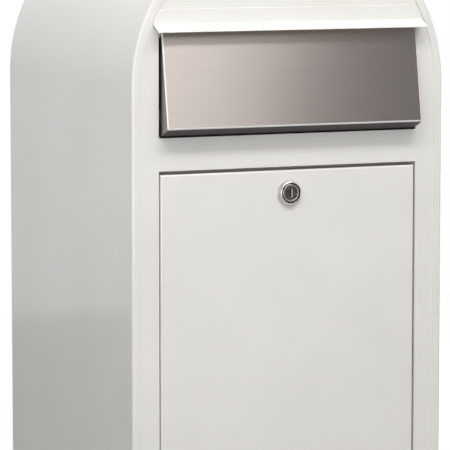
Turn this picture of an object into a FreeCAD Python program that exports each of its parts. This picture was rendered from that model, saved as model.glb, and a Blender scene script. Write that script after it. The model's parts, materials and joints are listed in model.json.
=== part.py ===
import FreeCAD, Part
import math
import os
import Sketcher
from FreeCAD import Placement, Rotation, Vector

# Parcel drop box with an arched roof, a canopied insertion flap and a drop-down locking door.
# Millimetres. +X is to the right, +Y goes to the back, +Z is up. The origin is the middle of the
# base's underside. The driving sizes are in the spreadsheet "Sizes"; every sub-part is bound to it.

DRIVING_SIZES = {
    # cabinet
    "width": (380, "overall width of the cabinet"),
    "depth": (380, "front of the rim to the wall face"),
    "side_height": (510, "height of the straight sides, where the half-round roof springs"),
    "wall": (1.5, "sheet of the wrapped shell, the back and the base"),
    "rim_width": (9.7, "front return of the shell, seen as a band around the front"),
    "bend_radius": (2.5, "outer radius of the shell's front bend"),
    "panel_gap": (0.2, "fit between the shell and the panels inside it"),
    "back_flange": (15, "depth of the back panel's folded edge"),
    "base_flange": (20, "height of the base tray's folded edge"),
    "tray_radius": (2, "outer bend radius of the back panel and the base tray"),
    "wall_bolts_across": (240, "wall fixing holes, across"),
    "wall_bolts_up": (320, "wall fixing holes, up"),
    "wall_bolts_height": (300, "height of the middle of the wall fixing holes"),
    "wall_bolt_radius": (4.25, "wall fixing hole"),
    "stand_bolts": (180, "stand fixing holes, both ways"),
    "stand_bolt_radius": (4.5, "stand fixing hole"),
    "drain_radius": (3, "drain hole"),
    "drain_inset": (45, "drain hole from the cabinet's corner, both ways"),
    # front plate and its openings
    "plate_sheet": (1.5, "sheet of the front plate"),
    "plate_gap": (0.3, "front plate's edge to the shell's inner wall"),
    "corner_radius": (1.2, "corners of the two openings"),
    "slot_width": (315, "insertion opening, across"),
    "slot_rise": (68, "top of the insertion opening above the roof spring"),
    "slot_drop": (54.3, "bottom of the insertion opening below the roof spring"),
    "doorway_width": (314.8, "door opening, across"),
    "doorway_drop": (90.6, "top of the door opening below the roof spring"),
    "sill_height": (30, "bottom of the door opening"),
    # canopy
    "hood_width": (328, "canopy, across"),
    "hood_sheet": (1, "sheet of the canopy"),
    "hood_top": (86.3, "top of the canopy's flange above the roof spring"),
    "hood_bend": (70.4, "bend of the canopy above the roof spring"),
    "hood_lip": (62.5, "lip of the canopy above the roof spring"),
    "hood_reach": (16, "lip of the canopy in front of the plate"),
    "hood_corner": (16, "rounded upper corners of the canopy's flange"),
    # insertion flap
    "flap_gap": (2.2, "flap to the side of the insertion opening"),
    "flap_sheet": (1.2, "stainless sheet of the flap"),
    "flap_rise": (61.5, "top of the flap's face above the roof spring"),
    "flap_drop": (43.8, "lower front edge of the flap below the roof spring"),
    "flap_top_reach": (2.95, "top of the flap's face in front of the plate"),
    "flap_foot_reach": (20, "lower front edge of the flap in front of the plate"),
    "flap_return_drop": (9.2, "fall of the flap's bottom return towards the plate"),
    "flap_tail": (0.4, "end of the bottom return behind the plate's front"),
    "flap_head": (3.6, "depth of the folded top edge of the flap"),
    "flap_bend": (1.4, "outer bend radius of the flap"),
    "stop_gap": (0.3, "a moving edge to the rubber or stop that it rests on"),
    "pivot_rise": (60, "flap's hinge rod above the roof spring"),
    "pivot_depth": (5, "flap's hinge rod behind the plate's front"),
    "rod_radius": (2.5, "flap's hinge rod"),
    "running_gap": (0.05, "radial clearance of every running fit"),
    "bush_radius": (3.6, "outside of the flap's bush"),
    "ear_radius": (6.5, "flap's ear around its bush"),
    "bush_flange": (5.5, "radius of the bush's flange"),
    "bush_flange_sheet": (1.2, "thickness of the bush's flange"),
    "bush_nose": (3.1, "radius of the bush between its flange and the bracket"),
    "bush_inner": (1, "bush inside the flap's ear"),
    "bracket_gap": (4.2, "flap's ear to its bracket"),
    "bracket_sheet": (2, "sheet of the flap's brackets"),
    "bracket_foot": (12.5, "width of the bracket's foot"),
    "bracket_reach": (10, "depth of the bracket's ear"),
    "bracket_half": (9, "half the height of the bracket"),
    "stud_radius": (2, "weld stud"),
    "stud_length": (8, "weld stud"),
    "stud_offset": (5, "weld stud above and below the rod"),
    "nut_thickness": (3.2, "stud's nut"),
    "nut_flats": (7, "stud's nut, across flats"),
    "clip_radius": (3.9, "retaining clip of the rod"),
    "clip_sheet": (0.8, "retaining clip of the rod"),
    "clip_groove": (0.5, "depth of the rod's groove"),
    "buffer_drop": (30, "middle of the flap's buffers below the roof spring"),
    "buffer_height": (12, "flap's buffer, up"),
    "buffer_depth": (6, "flap's buffer, front to back"),
    "buffer_inner": (7.5, "flap's buffer inside the opening's side"),
    "buffer_outer": (10.5, "flap's buffer outside the opening's side"),
    # mail guide
    "guide_sheet": (1.2, "sheet of the mail guide"),
    "guide_inset": (7.5, "mail guide inside the opening's side"),
    "guide_drop": (1.5, "top of the mail guide below the insertion opening"),
    "guide_foot": (22, "foot of the mail guide behind the plate"),
    "guide_run": (60, "depth of the mail guide's ramp"),
    "guide_fall": (20, "fall of the mail guide's ramp"),
    # door frame
    "frame_sheet": (1.5, "sheet of the jambs, header and sill"),
    "frame_set": (0.5, "jambs and header back from the door opening's edge"),
    "frame_leg": (12.6, "leg of the jambs and header behind the plate"),
    "header_leg": (9.6, "upstand of the header behind the plate"),
    "rebate_lip": (9.4, "lip of the frame inside the door opening's edge"),
    "seal_thickness": (3, "foam seal on the frame's lip"),
    "seal_width": (7.5, "foam seal on the frame's lip"),
    "jamb_start": (22, "jambs start above the sill"),
    "sill_inset": (5.4, "sill inside the door opening's side"),
    "sill_depth": (19, "depth of the sill's flange"),
    "sill_lip": (8, "rear lip of the sill"),
    # door
    "door_side_gap": (1.8, "door to the side of its opening"),
    "door_top_gap": (4.2, "door to the top of its opening"),
    "door_sheet": (1.2, "sheet of the door"),
    "door_depth": (15, "depth of the door tray"),
    "door_lip": (10, "inner lip of the door tray"),
    "door_bend": (2, "outer bend radius of the door"),
    # door hinges
    "hinge_centre": (105, "middle of each door hinge from the middle"),
    "hinge_length": (60, "door hinge"),
    "knuckle_length": (24, "door's knuckle of each hinge"),
    "knuckle_gap": (0.5, "between knuckles, endways"),
    "knuckle_radius": (2.8, "door hinge knuckle"),
    "knuckle_set": (0.5, "hinge pin's axis in front of the plate"),
    "knuckle_clear": (0.3, "knuckle to the door's edge and to the sill"),
    "leaf_sheet": (1.5, "door hinge leaf"),
    "leaf_depth": (13, "door hinge leaf, back from the pin"),
    "pin_radius": (1.5, "door hinge pin"),
    "pin_head": (2.4, "head of the hinge pin"),
    "pin_over": (0.8, "hinge pin beyond its knuckles"),
    # door checks
    "check_sheet": (1.2, "lug that carries the door's stop stud"),
    "check_stud_radius": (2, "stop stud"),
    "check_stud_length": (6, "stop stud"),
    "check_stud_back": (12.2, "stop stud behind the hinge pin"),
    "check_top": (14, "top of the lug above the door's lower edge"),
    "check_half": (4, "lug around the stop stud"),
    # lock
    "lock_drop": (25.2, "lock below the door's top edge"),
    "lock_plate_half": (22, "half the side of the lock's doubler plate"),
    "lock_plate_sheet": (1.5, "lock's doubler plate"),
    "gasket": (0.5, "thickness of the lock's gasket"),
    "bezel_slope": (2.3, "cone of the bezel, outside its crown"),
    "bezel_crown": (0.85, "flat crown of the bezel"),
    "well_width": (1.55, "dark well between the bezel and the collar"),
    "bezel_reach": (5, "front of the bezel in front of the door"),
    "bezel_floor": (1.1, "bezel's inner shoulder"),
    "collar_wall": (1.65, "front collar of the housing, around the plug's face"),
    "collar_reach": (4.8, "front of the collar in front of the door"),
    "head_thickness": (0.8, "housing's clamping head"),
    "barrel_wall": (3.2, "wall of the lock's barrel"),
    "hole_gap": (0.1, "barrel to its hole"),
    "face_lip": (1.85, "flange of the plug's face beyond its core"),
    "face_reach": (4.4, "face of the plug in front of the door"),
    "face_thickness": (1.75, "flange of the plug"),
    "core_radius": (6.25, "plug inside the barrel"),
    "barrel_back": (19.8, "end of the barrel behind the door's front"),
    "washer_thickness": (0.8, "lock's washer"),
    "washer_width": (4, "lock's washer beyond the barrel"),
    "lock_nut_wall": (2, "lock's nut around the barrel, at its flats"),
    "lock_nut_thickness": (4, "lock's nut"),
    "cam_gap": (0.5, "barrel to cam"),
    "cam_sheet": (2, "cam"),
    "cam_length": (34, "cam's tip from the lock's axis"),
    "cam_tail": (9, "cam's tail from the lock's axis"),
    "cam_width": (16, "cam, across"),
    "cam_corner": (4, "rounded corners of the cam"),
    "tang": (7, "square end of the plug"),
    "screw_radius": (2, "cam's screw"),
    "screw_length": (10, "cam's screw inside the plug"),
    "screw_head": (3.8, "head of the cam's screw"),
    "screw_head_height": (2.6, "head of the cam's screw"),
    "cam_washer_radius": (5.5, "washer of the cam's screw"),
    "key_width": (2, "keyway, across"),
    "key_height": (8.5, "keyway, up"),
    "key_depth": (9, "keyway"),
    "shutter_set": (1.2, "shutter behind the plug's face"),
    "shutter_sheet": (0.6, "keyway shutter"),
}

LEFT, RIGHT = -1, 1
HALF_TURN, QUARTER_TURN = 180, 90
PLANE_SIGN = {"XY_Plane": 1, "YZ_Plane": 1, "XZ_Plane": -1}


class Size:
    """A length together with the spreadsheet expression that gives it."""

    def __init__(self, value, text=None):
        self.value = float(value)
        self.text = repr(float(value)) if text is None else text

    def __add__(self, other):
        return combine(self, "+", other, self.value + value_of(other))

    def __radd__(self, other):
        return combine(other, "+", self, value_of(other) + self.value)

    def __sub__(self, other):
        return combine(self, "-", other, self.value - value_of(other))

    def __rsub__(self, other):
        return combine(other, "-", self, value_of(other) - self.value)

    def __mul__(self, other):
        return combine(self, "*", other, self.value * value_of(other))

    def __rmul__(self, other):
        return combine(other, "*", self, value_of(other) * self.value)

    def __truediv__(self, other):
        return combine(self, "/", other, self.value / value_of(other))

    def __neg__(self):
        return Size(-self.value, f"(0 - {self.text})")

    def root(self):
        return Size(math.sqrt(self.value), f"sqrt({self.text})")


def value_of(number):
    return number.value if isinstance(number, Size) else float(number)


def text_of(number):
    return number.text if isinstance(number, Size) else repr(float(number))


def combine(first, sign, second, value):
    return Size(value, f"({text_of(first)} {sign} {text_of(second)})")


class Sizes:
    """The spreadsheet of driving sizes; each one is an attribute that gives a Size."""

    def __init__(self, document):
        self.sheet = document.addObject("Spreadsheet::Sheet", "Sizes")
        for row, (alias, (value, meaning)) in enumerate(DRIVING_SIZES.items(), start=1):
            self.sheet.set(f"A{row}", alias)
            self.sheet.set(f"B{row}", str(value))
            self.sheet.setAlias(f"B{row}", alias)
            self.sheet.set(f"C{row}", meaning)
            setattr(self, alias, Size(value, f"Sizes.{alias}"))


class ArcTo:
    """An outline's point that is reached along an arc about a centre."""

    def __init__(self, across, up, centre_across, centre_up):
        self.point = (across, up)
        self.centre = (centre_across, centre_up)


doc = FreeCAD.newDocument("ParcelDropBox")
size = Sizes(doc)
doc.recompute()
parts = []


# ---------------------------------------------------------------- document helpers


def bind(item, path, length):
    item.setExpression(path, text_of(length))


def flat(point):
    return Vector(value_of(point[0]), value_of(point[1]), 0)


def origin_plane(body, role):
    return next(feature for feature in body.Origin.OriginFeatures if feature.Role == role)


def new_body(label):
    body = doc.addObject("PartDesign::Body", label)
    body.Label = label
    return body


def new_sketch(body, name, role, height):
    """A sketch on one of the body's own origin planes, moved to a height along that plane's axis."""
    sketch = body.newObject("Sketcher::SketchObject", name)
    sketch.AttachmentSupport = (origin_plane(body, role), [""])
    sketch.MapMode = "FlatFace"
    bind(sketch, "AttachmentOffset.Base.z", height * PLANE_SIGN[role])
    return sketch


def place(sketch, kind, geometry, position, length):
    """Ties one coordinate of a sketch point to its size."""
    constraint = Sketcher.Constraint(kind, -1, 1, geometry, position, value_of(length))
    index = sketch.addConstraint(constraint)
    bind(sketch, f"Constraints[{index}]", length)


def draw_outline(sketch, path):
    """Draws a closed outline; arcs run anticlockwise, and an arc's end keeps one free coordinate."""
    corners = [step.point if isinstance(step, ArcTo) else step for step in path]
    for index, step in enumerate(path):
        start, end = flat(corners[index - 1]), flat(corners[index])
        if isinstance(step, ArcTo):
            centre = flat(step.centre)
            first, last = start - centre, end - centre
            begin = math.atan2(first.y, first.x)
            finish = math.atan2(last.y, last.x)
            if finish < begin:
                finish += 2 * math.pi
            circle = Part.Circle(centre, Vector(0, 0, 1), first.Length)
            sketch.addGeometry(Part.ArcOfCircle(circle, begin, finish), False)
        else:
            sketch.addGeometry(Part.LineSegment(start, end), False)
    for index, step in enumerate(path):
        following = (index + 1) % len(path)
        sketch.addConstraint(Sketcher.Constraint("Coincident", index, 2, following, 1))
        across, up = corners[index]
        along_arc = isinstance(step, ArcTo)
        if along_arc:
            radial = flat(corners[index]) - flat(step.centre)
            place(sketch, "DistanceX", index, 3, step.centre[0])
            place(sketch, "DistanceY", index, 3, step.centre[1])
        if not along_arc or abs(radial.y) > abs(radial.x):
            place(sketch, "DistanceX", index, 2, across)
        if not along_arc or abs(radial.y) <= abs(radial.x):
            place(sketch, "DistanceY", index, 2, up)


def draw_circles(sketch, centres, radius):
    for index, centre in enumerate(centres):
        circle = Part.Circle(flat(centre), Vector(0, 0, 1), value_of(radius))
        sketch.addGeometry(circle, False)
        place(sketch, "DistanceX", index, 3, centre[0])
        place(sketch, "DistanceY", index, 3, centre[1])
        constraint = sketch.addConstraint(Sketcher.Constraint("Radius", index, value_of(radius)))
        bind(sketch, f"Constraints[{constraint}]", radius)


def extrude(kind, body, sketch, start, end):
    feature = body.newObject(kind, sketch.Name + "_" + kind.split("::")[1])
    feature.Profile = sketch
    feature.SideType = "Symmetric"
    bind(feature, "Length", end - start)
    return feature


def add_block(body, name, role, start, end, path):
    """Adds the material of an outline between two heights along the plane's axis."""
    sketch = new_sketch(body, name, role, (start + end) / 2)
    draw_outline(sketch, path)
    feature = extrude("PartDesign::Pad", body, sketch, start, end)
    doc.recompute()
    return feature


def add_rod(body, name, role, start, end, centres, radius):
    sketch = new_sketch(body, name, role, (start + end) / 2)
    draw_circles(sketch, centres, radius)
    feature = extrude("PartDesign::Pad", body, sketch, start, end)
    doc.recompute()
    return feature


def require_less(body, before, name):
    if body.Shape.Volume >= before:
        raise RuntimeError(f"{name} takes nothing away")


def cut_block(body, name, role, start, end, path):
    """Takes the material of an outline away between two heights along the plane's axis."""
    before = body.Shape.Volume
    sketch = new_sketch(body, name, role, (start + end) / 2)
    draw_outline(sketch, path)
    feature = extrude("PartDesign::Pocket", body, sketch, start, end)
    doc.recompute()
    require_less(body, before, name)
    return feature


def cut_holes(body, name, role, start, end, centres, radius):
    before = body.Shape.Volume
    sketch = new_sketch(body, name, role, (start + end) / 2)
    draw_circles(sketch, centres, radius)
    feature = extrude("PartDesign::Pocket", body, sketch, start, end)
    doc.recompute()
    require_less(body, before, name)
    return feature


def round_edges(body, name, radius, wanted, kind="PartDesign::Fillet"):
    """Rounds, or chamfers, every edge of the body that the wanted test accepts."""
    edges = body.Shape.Edges
    names = [f"Edge{index}" for index, edge in enumerate(edges, start=1) if wanted(edge)]
    if not names:
        raise RuntimeError(f"{name} finds no edge")
    base = body.Tip
    feature = body.newObject(kind, name)
    feature.Base = (base, names)
    bind(feature, "Radius" if kind == "PartDesign::Fillet" else "Size", radius)
    doc.recompute()
    return feature


def turned_body(label, profile, at, turn):
    """A turned piece: its (radius, along) profile is spun about its own +Z, then placed."""
    body = new_body(label)
    sketch = new_sketch(body, label + "_profile", "XZ_Plane", Size(0))
    draw_outline(sketch, profile)
    spin = body.newObject("PartDesign::Revolution", label + "_spin")
    spin.Profile = sketch
    spin.ReferenceAxis = (sketch, ["V_Axis"])
    spin.Angle = 2 * HALF_TURN
    seat(body, at, turn)
    doc.recompute()
    return body


def seat(item, at, turn=None):
    item.Placement = Placement(Vector(0, 0, 0), turn or Rotation())
    for axis, length in zip("xyz", at):
        bind(item, f"Placement.Base.{axis}", length)


def ring(inner, outer, low, high):
    return [(inner, low), (outer, low), (outer, high), (inner, high)]


def block(label, low, high):
    """A plain block between two corners."""
    item = doc.addObject("Part::Box", label)
    for side, start, end in zip(("Length", "Width", "Height"), low, high):
        bind(item, side, end - start)
    seat(item, low)
    return item


def cylinder(label, radius, length, at, turn=None):
    item = doc.addObject("Part::Cylinder", label)
    bind(item, "Radius", radius)
    bind(item, "Height", length)
    seat(item, at, turn)
    return item


def hexagon(label, flats, length, at, turn):
    item = doc.addObject("Part::Prism", label)
    item.Polygon = 6
    bind(item, "Circumradius", flats / math.sqrt(3))
    bind(item, "Height", length)
    seat(item, at, turn)
    return item


def subtract(label, base, tool):
    item = doc.addObject("Part::Cut", label)
    item.Base, item.Tool = base, tool
    return item


def group(label, pieces):
    item = doc.addObject("Part::Compound", label)
    item.Links = pieces
    return item


def mirrored(label, source):
    """The left-hand copy of a right-hand piece."""
    item = doc.addObject("Part::Mirroring", label)
    item.Source = source
    item.Base = Vector(0, 0, 0)
    item.Normal = Vector(1, 0, 0)
    return item


def keep(*items):
    for item in items:
        item.Label = item.Label if item.Label in item.Name else item.Name
        parts.append(item)


def keep_pair(source):
    """Keeps a right-hand piece and its mirrored left-hand partner."""
    keep(source, mirrored(source.Name.replace("_right", "_left"), source))


# ---------------------------------------------------------------- edge tests


def ends(edge):
    return [vertex.Point for vertex in edge.Vertexes]


def near(first, second):
    return abs(first - value_of(second)) < 1e-4


def lies_at(edge, axis, length):
    """True when the whole edge lies in the plane across the axis at that length."""
    box = edge.BoundBox
    low, high = getattr(box, axis + "Min"), getattr(box, axis + "Max")
    return near(low, length) and near(high, length)


def runs_along(edge, axis):
    """True for an edge parallel to the axis."""
    box = edge.BoundBox
    others = [getattr(box, name + "Length") for name in "XYZ" if name != axis]
    return max(others) < 1e-4


# ---------------------------------------------------------------- places and outlines

half_width = size.width / 2
front = -(size.depth / 2)
back = size.depth / 2
spring = size.side_height
plate_front = front + size.wall
plate_back = plate_front + size.plate_sheet
slot_half = size.slot_width / 2
slot_top = spring + size.slot_rise
slot_bottom = spring - size.slot_drop
doorway_half = size.doorway_width / 2
doorway_top = spring - size.doorway_drop
FACING_FRONT = Rotation(Vector(1, 0, 0), QUARTER_TURN)
ALONG_X = Rotation(Vector(0, 1, 0), QUARTER_TURN)


def rectangle(left, right, low, high):
    return [(right, low), (right, high), (left, high), (left, low)]


def arch(inset, low):
    """The cabinet's arched outline, moved in from the outside by an inset, from a lower edge up."""
    half = half_width - inset
    zero = Size(0)
    return [(half, low), (half, spring), ArcTo(-half, spring, zero, spring), (-half, low)]


# ---------------------------------------------------------------- cabinet


def make_body_shell():
    """One sheet wrapped over both sides and the roof, with its front edge returned inwards."""
    body = new_body("body_shell")
    add_block(body, "shell_outside", "XZ_Plane", front, back, arch(Size(0), Size(0)))
    round_edges(
        body, "shell_front_bend", size.bend_radius,
        lambda edge: lies_at(edge, "Y", front) and not lies_at(edge, "Z", Size(0)),
    )
    below = -size.wall
    cut_block(body, "shell_opening", "XZ_Plane", front, back, arch(size.rim_width, below))
    cut_block(body, "shell_inside", "XZ_Plane", plate_front, back, arch(size.wall, below))
    return body


def make_back_panel():
    """Tray-shaped back that closes the shell flush with its rear edge and carries the wall holes."""
    body = new_body("back_panel")
    inset = size.wall + size.panel_gap
    flange_front = back - size.back_flange
    inner = back - size.wall
    below = -size.wall
    add_block(body, "back_outside", "XZ_Plane", flange_front, back, arch(inset, Size(0)))
    round_edges(
        body, "back_bend", size.tray_radius,
        lambda edge: lies_at(edge, "Y", back) and not lies_at(edge, "Z", Size(0)),
    )
    cut_block(body, "back_inside", "XZ_Plane", flange_front, inner, arch(inset + size.wall, below))
    clear = size.base_flange + size.panel_gap
    notch = rectangle(-half_width, half_width, below, clear)
    cut_block(body, "back_base_notch", "XZ_Plane", flange_front, inner, notch)
    across, up = size.wall_bolts_across / 2, size.wall_bolts_up / 2
    middle = size.wall_bolts_height
    centres = [(side * across, middle + level * up) for side in (LEFT, RIGHT) for level in (-1, 1)]
    cut_holes(body, "wall_holes", "XZ_Plane", inner, back, centres, size.wall_bolt_radius)
    return body


def make_base_panel():
    """Folded base tray that the box stands on, with stand and drain holes."""
    body = new_body("base_panel")
    half = half_width - size.wall - size.panel_gap
    rear = back - size.wall
    outline = rectangle(-half, half, plate_back, rear)
    add_block(body, "base_outside", "XY_Plane", Size(0), size.base_flange, outline)
    inner = half - size.wall
    hollow = rectangle(-inner, inner, plate_back + size.wall, rear - size.wall)
    cut_block(body, "base_inside", "XY_Plane", size.wall, size.base_flange, hollow)
    bolt = size.stand_bolts / 2
    bolts = [(side * bolt, end * bolt) for side in (LEFT, RIGHT) for end in (-1, 1)]
    cut_holes(body, "stand_holes", "XY_Plane", Size(0), size.wall, bolts, size.stand_bolt_radius)
    across, along = half_width - size.drain_inset, back - size.drain_inset
    drains = [(side * across, end * along) for side in (LEFT, RIGHT) for end in (-1, 1)]
    cut_holes(body, "drain_holes", "XY_Plane", Size(0), size.wall, drains, size.drain_radius)
    return body


def make_front_plate():
    """Arched front plate behind the shell's rim, with the insertion and door openings."""
    body = new_body("front_plate")
    outline = arch(size.wall + size.plate_gap, Size(0))
    add_block(body, "plate_outside", "XZ_Plane", plate_front, plate_back, outline)
    slot = rectangle(-slot_half, slot_half, slot_bottom, slot_top)
    cut_block(body, "plate_slot", "XZ_Plane", plate_front, plate_back, slot)
    doorway = rectangle(-doorway_half, doorway_half, size.sill_height, doorway_top)
    cut_block(body, "plate_doorway", "XZ_Plane", plate_front, plate_back, doorway)

    def opening_corner(edge):
        x = abs(ends(edge)[0].x)
        return runs_along(edge, "Y") and (near(x, slot_half) or near(x, doorway_half))

    round_edges(body, "plate_corners", size.corner_radius, opening_corner)
    return body


def make_slot_hood():
    """Canopy bent from one sheet: a flange on the plate and a shelf that slopes out and down."""
    body = new_body("slot_hood")
    half = size.hood_width / 2
    face = plate_front - size.hood_sheet
    lip = plate_front - size.hood_reach
    bend_up, lip_up = spring + size.hood_bend, spring + size.hood_lip
    slope = (size.hood_bend - size.hood_lip) / (size.hood_reach - size.hood_sheet)
    thickness = size.hood_sheet * (slope * slope + 1).root()
    profile = [
        (face, bend_up),
        (lip, lip_up),
        (lip, lip_up - thickness),
        (plate_front, lip_up - thickness + slope * size.hood_reach),
        (plate_front, spring + size.hood_top),
        (face, spring + size.hood_top),
    ]
    add_block(body, "hood_profile", "YZ_Plane", -half, half, profile)

    def top_corner(edge):
        return runs_along(edge, "Y") and near(ends(edge)[0].z, spring + size.hood_top)

    round_edges(body, "hood_corners", size.hood_corner, top_corner)
    return body


# ---------------------------------------------------------------- insertion flap

pivot_y = plate_front + size.pivot_depth
pivot_z = spring + size.pivot_rise
flap_half = slot_half - size.flap_gap
flap_top = (plate_front - size.flap_top_reach, spring + size.flap_rise)
flap_foot = (plate_front - size.flap_foot_reach, spring - size.flap_drop)
flap_lean = (size.flap_foot_reach - size.flap_top_reach) / (size.flap_rise + size.flap_drop)
return_fall = size.flap_return_drop / size.flap_foot_reach
bracket_inner = flap_half + size.bracket_gap
bracket_outer = bracket_inner + size.bracket_sheet
bush_start = flap_half - size.flap_sheet - size.bush_inner
clip_start = bush_start - size.stop_gap - size.clip_sheet


def make_insertion_flap():
    """Tray-shaped stainless flap: leaning face, side walls with hinge ears, sloping bottom return."""
    body = new_body("insertion_flap")
    tail_y = plate_front + size.flap_tail
    tail_z = flap_foot[1] - return_fall * (size.flap_foot_reach + size.flap_tail)
    rear = plate_back - size.stop_gap
    side = [
        (tail_y, tail_z),
        (rear, tail_z + size.ear_radius),
        (rear, pivot_z - size.ear_radius * 2),
        (pivot_y, pivot_z - size.ear_radius),
        ArcTo(pivot_y, pivot_z + size.ear_radius, pivot_y, pivot_z),
        flap_top,
        flap_foot,
    ]
    add_block(body, "flap_outside", "YZ_Plane", -flap_half, flap_half, side)

    def bend_line(edge):
        points = ends(edge)
        at_foot = runs_along(edge, "X") and near(points[0].z, flap_foot[1])
        heights = sorted(point.z for point in points)
        down_side = near(heights[0], flap_foot[1]) and near(heights[-1], flap_top[1])
        return at_foot or down_side

    round_edges(body, "flap_bends", size.flap_bend, bend_line)
    skin = size.flap_sheet * (flap_lean * flap_lean + 1).root()
    floor = size.flap_sheet * (return_fall * return_fall + 1).root()
    rise = (floor - return_fall * skin) / (return_fall * flap_lean + 1)
    corner = (flap_foot[0] + skin + flap_lean * rise, flap_foot[1] + rise)
    head_z = flap_top[1] - size.flap_sheet
    head_y = flap_foot[0] + skin + flap_lean * (head_z - flap_foot[1])
    beyond = pivot_y + size.ear_radius * 2
    above = pivot_z + size.ear_radius * 2
    hollow = [
        corner,
        (beyond, flap_foot[1] + floor - return_fall * (beyond - flap_foot[0])),
        (beyond, above),
        (flap_top[0] + size.flap_head, above),
        (flap_top[0] + size.flap_head, head_z),
        (head_y, head_z),
    ]
    inner = flap_half - size.flap_sheet
    cut_block(body, "flap_inside", "YZ_Plane", -inner, inner, hollow)
    hole_radius = size.bush_radius + size.running_gap
    holes = [(pivot_y, pivot_z)]
    cut_holes(body, "flap_holes", "YZ_Plane", -flap_half, flap_half, holes, hole_radius)
    return body


def make_flap_bushes():
    """A flanged bush in each of the flap's ears; it turns on the rod and spaces the flap."""
    bore = size.rod_radius + size.running_gap
    nose_end = bracket_inner - size.stop_gap
    length = flap_half - bush_start
    profile = [
        (bore, Size(0)),
        (size.bush_radius, Size(0)),
        (size.bush_radius, length),
        (size.bush_flange, length),
        (size.bush_flange, length + size.bush_flange_sheet),
        (size.bush_nose, length + size.bush_flange_sheet),
        (size.bush_nose, nose_end - bush_start),
        (bore, nose_end - bush_start),
    ]
    right = turned_body("flap_bush", profile, (bush_start, pivot_y, pivot_z), ALONG_X)
    return group("flap_bushes", [right, mirrored("flap_bush_mirror", right)])


def make_flap_hinge_rod():
    """Hinge rod from bracket to bracket, with a groove for a clip inside each bush."""
    clip_end = clip_start + size.clip_sheet
    tip = bracket_outer - size.hole_gap
    radius, groove = size.rod_radius, size.rod_radius - size.clip_groove
    zero = Size(0)
    profile = [
        (radius, -tip),
        (radius, -clip_end),
        (groove, -clip_end),
        (groove, -clip_start),
        (radius, -clip_start),
        (radius, clip_start),
        (groove, clip_start),
        (groove, clip_end),
        (radius, clip_end),
        (radius, tip),
        (zero, tip),
        (zero, -tip),
    ]
    return turned_body("flap_hinge_rod", profile, (zero, pivot_y, pivot_z), ALONG_X)


def make_rod_clips():
    """Open retaining clips that sit in the rod's grooves."""
    inner = size.rod_radius - size.clip_groove + size.running_gap
    at = (clip_start, pivot_y, pivot_z)
    disc = cylinder("clip_disc", size.clip_radius, size.clip_sheet, at, ALONG_X)
    bore = cylinder("clip_bore", inner, size.clip_sheet, at, ALONG_X)
    washer = subtract("clip_ring", disc, bore)
    low = (clip_start, pivot_y - inner, pivot_z - size.clip_radius)
    high = (clip_start + size.clip_sheet, pivot_y + inner, pivot_z)
    right = subtract("clip_open", washer, block("clip_mouth", low, high))
    return group("rod_clips", [right, mirrored("clip_open_mirror", right)])


def make_flap_bracket():
    """Right-hand L bracket: its foot lies behind the plate and its ear carries the rod."""
    body = new_body("flap_bracket_right")
    foot_end = bracket_inner + size.bracket_foot
    foot_back = plate_back + size.bracket_sheet
    outline = [
        (foot_end, plate_back),
        (foot_end, foot_back),
        (bracket_outer, foot_back),
        (bracket_outer, plate_back + size.bracket_reach),
        (bracket_inner, plate_back + size.bracket_reach),
        (bracket_inner, plate_back),
    ]
    low, high = pivot_z - size.bracket_half, pivot_z + size.bracket_half
    add_block(body, "bracket_outline", "XY_Plane", low, high, outline)
    hole = size.rod_radius + size.running_gap
    ear = [(pivot_y, pivot_z)]
    cut_holes(body, "bracket_bore", "YZ_Plane", bracket_inner, bracket_outer, ear, hole)
    stud_hole = size.stud_radius + size.hole_gap
    cut_holes(body, "bracket_foot", "XZ_Plane", plate_back, foot_back, stud_places(), stud_hole)
    return body


def stud_places():
    across = (bracket_outer + bracket_inner + size.bracket_foot) / 2
    return [(across, pivot_z - size.stud_offset), (across, pivot_z + size.stud_offset)]


def make_bracket_fixings():
    """Weld studs on the back of the plate and their nuts, two for each bracket."""
    studs, nuts = [], []
    into_cabinet = Rotation(Vector(1, 0, 0), -QUARTER_TURN)
    seat_y = plate_back + size.bracket_sheet
    bore_radius = size.stud_radius + size.running_gap
    for number, (across, up) in enumerate(stud_places(), start=1):
        at = (across, plate_back, up)
        stud = cylinder(f"stud_{number}", size.stud_radius, size.stud_length, at, into_cabinet)
        at = (across, seat_y, up)
        thickness = size.nut_thickness
        blank = hexagon(f"nut_blank_{number}", size.nut_flats, thickness, at, into_cabinet)
        bore = cylinder(f"nut_bore_{number}", bore_radius, thickness, at, into_cabinet)
        nut = subtract(f"nut_{number}", blank, bore)
        studs += [stud, mirrored(f"stud_{number}_mirror", stud)]
        nuts += [nut, mirrored(f"nut_{number}_mirror", nut)]
    return group("bracket_studs", studs), group("bracket_nuts", nuts)


def make_flap_buffers():
    """Rubber blocks glued behind the plate, which the flap's side walls close against."""
    middle = spring - size.buffer_drop
    half = size.buffer_height / 2
    low = (slot_half - size.buffer_inner, plate_back, middle - half)
    high = (slot_half + size.buffer_outer, plate_back + size.buffer_depth, middle + half)
    right = block("buffer_right", low, high)
    return group("flap_buffers", [right, mirrored("buffer_left", right)])


def make_mail_guide():
    """Ramp behind the insertion opening that leads mail inwards, clear of the lock."""
    body = new_body("mail_guide")
    half = slot_half - size.guide_inset
    top = slot_bottom - size.guide_drop
    slope = size.guide_fall / size.guide_run
    thickness = size.guide_sheet * (slope * slope + 1).root()
    end = plate_back + size.guide_run
    inner = plate_back + size.guide_sheet
    profile = [
        (plate_back, top - size.guide_foot),
        (inner, top - size.guide_foot),
        (inner, top - slope * size.guide_sheet - thickness),
        (end, top - size.guide_fall - thickness),
        (end, top - size.guide_fall),
        (plate_back, top),
    ]
    add_block(body, "guide_profile", "YZ_Plane", -half, half, profile)
    return body


# ---------------------------------------------------------------- door frame

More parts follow.
